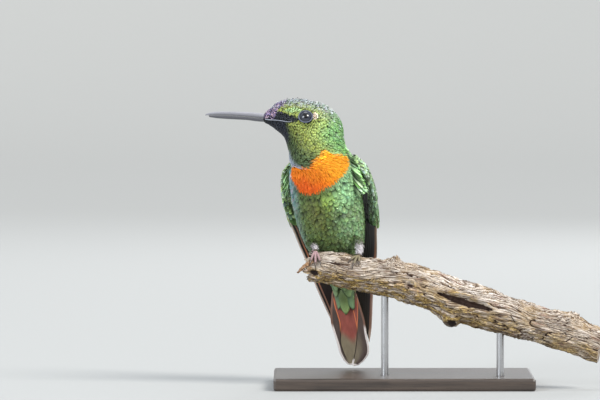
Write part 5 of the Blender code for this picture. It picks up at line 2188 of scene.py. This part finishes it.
@dataclass
class Tail:
    """Ten tail feathers, five to a side, stacked from the middle pair on top to the outer pair below."""

    form: TailForm = field(default_factory=TailForm)
    root: float = 16.6
    tips: Row = (20.88, 20.91, 20.94, 20.97, 21.0)  # from the middle pair outwards
    # The lowest vane on each side: station, then the left one's inner edge and the right one's
    # shaft, in millimetres to the left
    left_inner: Array = table(
        (16.6, 1.2), (17.2, 3.4), (17.8, 4.2), (18.4, 3.7), (19.0, 2.95), (19.5, 2.1), (20.0, 1.3),
        (20.5, 0.7), (21.0, -0.1),
    )
    right_shaft: Array = table(
        (16.6, -1.5), (17.4, -3.6), (18.1, -3.8), (18.7, -3.3), (19.1, -3.1), (19.5, -3.5), (19.9, -4.0),
        (20.2, -3.6), (20.6, -2.4), (21.0, -0.4),
    )
    red_ends: tuple[float, float] = (19.55, 19.9)  # station where the rufous ends, right and left

    def vane(self, number: int, hand: int) -> LongVane:
        """One feather; the lowest pair follows the tail's whole outline.

        Args:
            number: its place, from 0 in the middle pair to 4 in the outer one.
            hand: 1 on the bird's left, -1 on its right.

        Returns:
            The vane.
        """
        tip = self.tips[number]
        station = self.root + (tip - self.root) * (1 - (1 - np.linspace(0, 1, 84)) ** 1.6)
        width = self.form.half_width(np.maximum(station, 17.0)) * np.interp(station, (16.6, 17.4), (0.6, 1))
        outer = hand * np.maximum(width - 0.4 * (4 - number), 0.3 * width)
        outer = outer + 1.5 * bell(station, 20.45, 0.65) * (hand > 0)
        inner = -hand * np.interp(station, (16.6, 18, 20.6, 21), (0.6, 1.6, 1.2, 0.2))
        shaft_at = 0.42
        if number == 4 and hand > 0:
            inner = by_first_column(self.left_inner, station)[..., 0]
            shaft_at = 1 - 0.16 / np.maximum(np.abs(outer - inner), 0.3)
        elif number == 4:
            inner = np.interp(station, (16.6, 18, 20.3, 21), (0.6, 1.6, 1.6, 0.3))
            shaft = by_first_column(self.right_shaft, station)[..., 0]
            shaft_at = np.clip((shaft - outer) / (inner - outer), 0.05, 0.95)
        lift = 0.42 - 0.19 * number - 0.10 * (hand > 0)
        return LongVane(
            station, outer, inner, rounded(station, tip, 0.05), lift, bow=-0.1, shaft_at=shaft_at,
            tip_rim=True,
        )

    def make(self) -> None:
        """All ten vanes as one piece for the CAD tail."""
        places = [(number, hand) for number in range(5) for hand in (1, -1)]
        sheets = [
            self.vane(*place).sheet(self.form, strip, 10, self.colouring(*place), 25)
            for strip, place in enumerate(places)
        ]
        write_piece("tail_feathers", Sheet.join(sheets), TAIL, ("tail",), outward=True)

    def colouring(self, number: int, hand: int) -> Callable:
        """The tint of one vane: rufous with an olive tip below, bronzy green on the middle pair above.

        Args:
            number: its place, as for the vane.
            hand: its side.

        Returns:
            A function of the shares along and across, and of whether a place is above.
        """
        def tint(down: Array, share: Array, above: Array) -> Array:
            """Pigments by station and by the side of the shaft.

            Args:
                down: shares of the vane's length.
                share: shares of its width.
                above: whether each place is on the upper face.

            Returns:
                Linear colours.
            """
            station = self.root + (self.tips[number] - self.root) * down
            start, end = self.red_ends
            red_end = start + (end - start) * soft(share, 0.3, 0.8)
            tinted = lay(Pigment.RUFOUS, (soft(station, red_end - 0.25, red_end + 0.25), Pigment.TAIL_TIP))
            if number == 4:
                width = self.form.half_width(station)
                beyond = by_first_column(self.right_shaft, station)[..., 0] + width - share * (width + 1.6)
                outer_vane = soft(beyond, -0.1, 0.1) if hand < 0 else np.ones_like(share)
                tip = 0.7 * outer_vane * soft(station, 19.2, 20.4) * soft(share, 0.3, 0.7)
                tinted = lay(tinted, (outer_vane, Pigment.TAIL_EDGE), (tip, Pigment.TAIL_TIP))
            tinted = lay(tinted, (above * (1.0 if number == 0 else 0.25), Pigment.TAIL_GREEN))
            return tinted * np.interp(station, (16.6, 18.2), (0.6, 1.0))[..., None]
        return tint


@dataclass
class Branch:
    """The weathered branch: ridged bark fibres, a rotted end, a torn flap and knots."""

    form: PerchForm
    rows: int = 420
    count: int = 190
    pit_depth: float = 3.0
    # Rings of the rotted end's pit: share of the radius, share of the depth, and how dark it is
    pit: Array = table(
        (0.0, 1.0, 1.0), (0.35, 0.97, 1.0), (0.62, 0.8, 0.95), (0.8, 0.45, 0.8), (0.92, 0.12, 0.35),
    )
    cut: Row = (0.97, 0.66, 0.33, 0.02)  # rings of the sawn end, as shares of the radius
    flap_x: float = -29.2
    flap_turn: float = 66.0
    # X, angle in degrees, size and depth; the first two are darkened inside
    holes: Array = table(
        (-28.0, 112, 1.2, 1.2), (17.6, 158, 1.5, 0.8), (43.0, 62, 0.7, 0.35), (51.0, 52, 1.0, 0.4),
        (2.8, 92, 1.0, 0.3),
    )

    def relief(self, x: Array, angle: Array) -> Array:
        """Height of the bark over the form: long ridges, cracks between them and small grain.

        Ridges are one minus the size of noise that is eleven times longer along the branch than
        round it, so that they meet in sharp grooves. A slit with a hollow runs where the CAD
        branch is dented. Near the feet the relief is low.

        Args:
            x: places along the branch.
            angle: angles from its top, in radians.

        Returns:
            Millimetres.
        """
        turn = self.twist(x, angle)
        relief = 0.42 * (np.minimum(np.abs(ripple(x / 9.0, turn * 2.0, 72)), 1.1) - 0.55)
        relief = relief + 0.26 * np.abs(ripple(x / 9, turn * 7.5, 73)) + 0.10 * ripple(x / 5, turn * 17, 74)
        cracks = bell(ripple(x / 16.0, turn * 2.6, 75), 0, 0.09) * soft(ripple(x / 7, turn, 76), -0.4, 0.4)
        splits = bell(ripple(x / 14.0, turn * 6.0, 82), 0, 0.10)
        splits = splits * soft(ripple(x / 7, turn * 2, 83), -0.5, 0.2)
        relief = relief - 0.95 * cracks - 0.5 * splits
        for knot_x, towards, size, depth in self.holes:
            apart = np.hypot((x - knot_x) / size, turned(angle, towards) / (size * 10))
            relief = relief - depth * bell(apart, 0, 1, 4) + 0.35 * bell(apart, 1.5, 0.35)
        feet = np.clip(bell(x, -15.2, 2.6) + bell(x, -28, 2.8), 0, 1)
        relief = relief * (1 - 0.75 * feet * soft(np.cos(angle - 0.7), 0.2, 0.7))
        for middle, reach, tilt, edge, height, grain, seed in (
            (-4, 2.2, 0.2, (0.6, 0.95), 0.9, (0.7, 7), 77), (52.5, 3, 0.0, (0.5, 0.9), 0.5, (1.2, 5), 78),
        ):
            crumbs = np.abs(ripple(x / grain[0], turn * grain[1], seed))
            relief = relief + height * bell(x, middle, reach) * soft(np.cos(angle - tilt), *edge) * crumbs
        reach, off = self.cleft(x, angle)
        slit = bell(off, 0, np.maximum(reach, 0.5), 4) * soft(reach, 0.5, 3.0)
        lips = bell(np.abs(off) - reach, 8, 6) * soft(reach, 1.0, 7.0)
        return relief - 1.7 * slit + 0.95 * lips - 0.10

    def cleft(self, x: Array, angle: Array) -> tuple[Array, Array]:
        """Half the cleft's opening at X, and how far an angle is from its middle, in degrees."""
        reach = 11.0 * np.clip(1 - ((x - 20.2) / 9.6) ** 2, 0, 1)
        return reach, np.degrees(angle) - 87 - 2.0 * np.sin(x / 2.6)

    def twist(self, x: Array, angle: Array) -> Array:
        """The angle that the fibres keep to: it winds, wanders, and parts round the cleft."""
        reach, off = self.cleft(x, angle)
        part = np.radians(reach) * 0.8 * np.tanh(off / 6) * bell(off, 0, 40)
        return angle - part + 0.012 * x + 0.15 * ripple(x / 30, angle / 3, 71)

    def make(self) -> None:
        """The bark as rings from the pit's floor over the broken rim to the cut end."""
        along, across = around(self.form.rows[0, 0], self.form.rows[-1, 0], self.rows, self.count)
        relief = self.relief(along, across)
        points = self.form.raised(along, across, relief)
        angle = across[0]
        ragged = 0.8 * ripple(angle / 1.2, 0 * angle, 79) + 0.5 * ripple(angle / 0.35, 0 * angle, 80)
        points[..., 0] += ragged * np.exp(-(along - along[0]) / 1.6)
        centre, end = points[0].mean(0), points[-1].mean(0)
        floor = [
            centre + (points[0] - centre) * max(share, 0.02) + (self.pit_depth * depth, 0, 0)
            + 0.25 * ripple(angle / 0.6, np.full_like(angle, share * 3), 81)[:, None]
            for share, depth, _ in self.pit
        ]
        sawn = [end + (points[-1] - end) * share + (0.12 * (share < 0.9), 0, 0) for share in self.cut]
        rings = np.concatenate([floor, points, sawn])

        def mark(inside: Array | float, bark: Array, outside: float) -> Array:
            """A mark over the pit, the bark and the sawn end."""
            pit = np.broadcast_to(inside, (self.count, len(floor))).T
            return np.concatenate([pit, bark, np.full((len(sawn), self.count), outside)])

        hollow = 0.0
        for knot_x, towards, size, _ in self.holes[:2]:
            apart = np.hypot((along - knot_x) / size, (np.degrees(across) - towards) / (size * 10))
            hollow = hollow + 0.9 * bell(apart, 0, 1, 4)
        underside = soft(-np.cos(across + 0.25), 0.0, 0.65) * (0.95 - 0.35 * soft(along, 5, 45))
        reach, off = self.cleft(along, across)
        moss = bell(along, 2.8, 2.6) * bell(np.degrees(across), 92, 17)
        moss = np.maximum(underside, moss + 0.9 * bell(off + reach, -9, 7) * soft(reach, 1.0, 7.0))
        bare = 0.75 * soft(np.cos(across - 0.35), 0.55, 0.95) * bell(along, 21, 12, 4)
        bare = np.clip(bare + 0.25 * soft(np.cos(across - 0.5), 0.3, 0.9), 0, 1)
        wound = self.twist(along, across)
        wound = np.concatenate([wound[:1]] * len(floor) + [wound] + [wound[-1:]] * len(sawn))
        run = np.linspace(0, 9.4, len(rings))[:, None] + 0 * angle
        marks = {
            "Groove": mark(0.4, soft(-relief, 0.12, 0.75), 0.1), "Rot": mark(self.pit[:, 2], hollow, 0.0),
            "Moss": mark(0.0, moss, 0.0), "Bare": mark(0.0, bare, 0.4),
        }
        bark = Sheet.rings(rings, {"Grain": np.stack([run, np.abs(wound / math.pi - 1)], -1)}, marks=marks)
        write_piece("branch", bark, BARK, ("perch",), outward=True)

    def make_flap(self) -> None:
        """The torn strip of bark at the rotted end, and two splinters: flat tapering tubes."""
        start = self.form.raised(self.flap_x, math.radians(self.flap_turn), -0.5)
        along, across = around(0, 1, 60, 26)
        grain = np.stack([along * 0.8, np.abs(across / math.pi - 1) * 0.3], -1)
        sheets = []
        for shift, reach, width, seed in (
            ((0, 0, 0), 1.0, 1.0, 91), ((0.6, -0.3, -1.3), 0.55, 0.6, 92), ((0.3, 0.4, 1.0), 0.4, 0.5, 93),
        ):
            steps = np.array([(0.6, 0.1, 0.1), (-1.2, -0.5, -0.4), (-2.8, -0.9, -1.5), (-4.7, -1.2, -3.3)])
            path = catmull(start + np.array(shift) + steps * reach, np.linspace(0, 3, 24))
            there = TubeForm(path, width * np.array((0.75, 0.7, 0.62, 0.5, 0.22))).basis(along, across)
            points = there.point + there.outward * (0.14 * ripple(along * 5, across / 1.5, seed))[..., None]
            marks = {"Groove": 0.1, "Rot": 0.0, "Moss": 0.35, "Bare": 0.2}
            sheets.append(Sheet.rings(points, {"Grain": grain}, marks=marks))
        write_piece("bark_flap", Sheet.join(sheets), BARK_FLAP, outward=True)


class Stand:
    """The display stand: the CAD plate and rods in better finishes."""

    def dress(self) -> None:
        """Give the plate stained board and the rods drawn steel."""
        for name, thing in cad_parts.items():
            if name.startswith("stand_"):
                finish = BOARD if name == "stand_base" else STEEL
                for place in thing.material_slots:
                    place.material = finish.material()
                LOG.info("%s: CAD node in %s", name, finish.name)


@dataclass
class Studio:
    """Pale paper sweep, soft lights and the camera."""

    aim: Triple = (-33.5, -10.0, 60.6)
    lift: float = 2.0  # of the camera over the horizon, in degrees
    distance: float = 2000.0
    seen_width: float = 193.5  # at the aim
    sensor: float = 36.0
    floor_radius: float = 2400.0  # where the paper starts to rise
    wall_radius: float = 4300.0
    wall_height: float = 1200.0

    def make_sweep(self) -> None:
        """A round bowl of paper: at radius r beyond the floor's it is as high as the wall times t^3."""
        turn = np.linspace(0, 2 * math.pi, 96, endpoint=False)[None]
        share = np.linspace(0, 1, 24)[:, None]
        radius = np.concatenate([[[1.0]], self.floor_radius + (self.wall_radius - self.floor_radius) * share])
        height = np.concatenate([[[0.0]], self.wall_height * share**3])
        level = height - 0.02
        points = np.stack(np.broadcast_arrays(radius * np.cos(turn), radius * np.sin(turn), level), -1)
        mesh = bpy.data.meshes.new("paper_sweep")
        faces = rings_to_faces(len(radius), 96, ends=False)[0][:, ::-1].tolist() + [list(range(96))]
        mesh.from_pydata((points.reshape(-1, 3) * MM).tolist(), [], faces)
        mesh.shade_smooth()
        sweep = bpy.data.objects.new("paper_sweep", mesh)
        bpy.context.scene.collection.objects.link(sweep)
        mesh.materials.append(PAPER.material())

    def make_camera(self) -> None:
        """A long lens, level with the breast, that sees the chosen width at the aim."""
        camera = bpy.data.objects.new("camera", bpy.data.cameras.new("camera"))
        bpy.context.scene.collection.objects.link(camera)
        back = mathutils.Vector((0, -math.cos(math.radians(self.lift)), math.sin(math.radians(self.lift))))
        camera.location = mathutils.Vector(self.aim) * MM + back * self.distance * MM
        camera.rotation_euler = (-back).to_track_quat("-Z", "Y").to_euler()
        camera.data.sensor_width = self.sensor
        camera.data.lens = self.sensor * self.distance / self.seen_width
        camera.data.clip_start, camera.data.clip_end = 0.05, 20.0
        bpy.context.scene.camera = camera

    def make_lights(self) -> None:
        """A wide soft sun high to the front right, and soft boxes above, in front and behind."""
        # Name, kind, place in mm, size in mm or degrees, power in watts or strength, colour
        lights = (
            ("key", "SUN", (950, -850, 1150), 25, 3.2, (1.0, 0.975, 0.93)),
            ("top", "AREA", (0, 250, 1100), 600, 2.0, (0.96, 0.98, 1.0)),
            ("window", "AREA", (-850, -1050, 560), 700, 11.0, (0.88, 0.94, 1.0)),
            ("rim", "AREA", (350, 1100, 600), 500, 3.0, (0.94, 0.96, 1.0)),
        )
        for name, kind, place, size, power, colour in lights:
            data = bpy.data.lights.new(name, kind)
            data.energy, data.color = power, colour
            if kind == "SUN":
                data.angle = math.radians(size)
            else:
                data.shape, data.size = "DISK", size * MM
            light = bpy.data.objects.new(name, data)
            light.location = mathutils.Vector(place) * MM
            towards = mathutils.Vector(self.aim) * MM - light.location
            light.rotation_euler = towards.to_track_quat("-Z", "Y").to_euler()
            light.visible_camera = False
            bpy.context.scene.collection.objects.link(light)
        world = bpy.data.worlds.new("daylight")
        world.use_nodes = True
        background = world.node_tree.nodes["Background"].inputs
        background["Color"].default_value = (0.86, 0.90, 0.95, 1.0)
        background["Strength"].default_value = 0.80
        bpy.context.scene.world = world
        bpy.context.scene.view_settings.view_transform = "Standard"


PLUME_HEAD = PlumeFinish("glittering small feathers", roughness=0.4, glitter=0.4)
# Painted highlight: each scaly feather's rim is brightened strongly
PLUME_BODY = PlumeFinish("glittering scaly feathers", rim_highlight_and_dark_edge=1.65)
PLUME_BAND = PlumeFinish(
    "velvety orange feathers", metallic=0.0, roughness=0.65, painted_gap_shade=0.9, glitter=0.06,
)
PLUME_COVERT = PlumeFinish(
    "smooth large coverts", metallic=0.15, painted_gap_shade=0.5, rim_highlight_and_dark_edge=0.45, glitter=0.2, barbs=34.0,
)
# Painted highlight: each covert's rim is brightened very strongly
PLUME_EDGED = PlumeFinish(
    "pale-edged coverts", metallic=0.15, painted_gap_shade=0.35, rim_highlight_and_dark_edge=2.2, glitter=0.2, barbs=30.0,
)
PLUME_MANTLE = PlumeFinish(
    "streaky mantle feathers", metallic=0.05, roughness=0.7, painted_gap_shade=0.35, rim_highlight_and_dark_edge=1.5,
)
DOWN = PlumeFinish(
    "loose down", metallic=0.0, roughness=0.85, painted_gap_shade=0.75, rim_highlight_and_dark_edge=1.0, glitter=0.1,
)
FLIGHT = QuillFinish(
    "dusky flight feathers", shaft_tint=dye(222, 142, 106), shaft_tip_tint=dye(190, 140, 120),
    shaft_half=0.17, rim_tint=dye(248, 222, 208), side_tint=dye(248, 222, 208), rim=0.62,
)
TAIL = QuillFinish(
    "tail feathers", shaft_tint=dye(236, 138, 92), shaft_tip_tint=dye(58, 48, 40), shaft_half=0.13,
    rim_tint=dye(255, 244, 238), side_tint=dye(140, 104, 88), rim=0.66, rim_from=0.55,
)
SKIN = SkinFinish("skin and down")
BILL = HornFinish("bill horn")
CLAW = HornFinish("claw horn", base=(0.030, 0.022, 0.018), pale=(0.20, 0.15, 0.12))
EYE = EyeFinish("wet dark eye")
LID = LidFinish("beaded bare skin")
BARK = BarkFinish("weathered bark")
BARK_FLAP = BarkFinish("torn bark", warm=0.45)
BOARD = BoardFinish("stained board")
STEEL = SteelFinish("drawn steel")
PAPER = PaperFinish("pale paper")


def main() -> None:
    """Build the bird, its branch and the stand, and light them."""
    logging.basicConfig(level=logging.INFO, format="%(name)s: %(message)s")
    form, perch, studio = BodyForm(), PerchForm(), Studio()
    studio.make_camera()
    eyes = [Eye("left", form), Eye("right", form)]
    for eye in eyes:
        eye.make_globe()
        eye.make_lids()
    body = Body(form, eyes, Markings())
    body.make_skin()
    body.make_coat()
    body.make_scapulars()
    body.make_crest()
    body.make_vent_coverts()
    body.make_gape()
    Bill().make()
    for side, hand in SIDES:
        wing = Wing(side, hand)
        wing.make_arm()
        wing.make_coverts()
        wing.make_great_coverts()
        wing.make_flight()
    Tail().make()
    left_toes = ((-2.6, 58), (-0.9, 80), (1.1, 66), (0.4, -62))
    right_toes = ((-1.2, 84), (0.9, 100), (2.7, 86), (-1.5, 4))
    for leg in (
        Leg("left", 1, 12.8, 60, -15.3, 14, left_toes, Pigment.TOE_OLIVE, 0.26, 0.88, form, perch),
        Leg("right", -1, 12.75, 33, -28.6, 22, right_toes, Pigment.TOE, 0.5, 0.7, form, perch),
    ):
        leg.make_puff()
        leg.make_foot()
    branch = Branch(perch)
    branch.make()
    branch.make_flap()
    Stand().dress()
    studio.make_sweep()
    studio.make_lights()


if __name__ == "__main__":
    main()
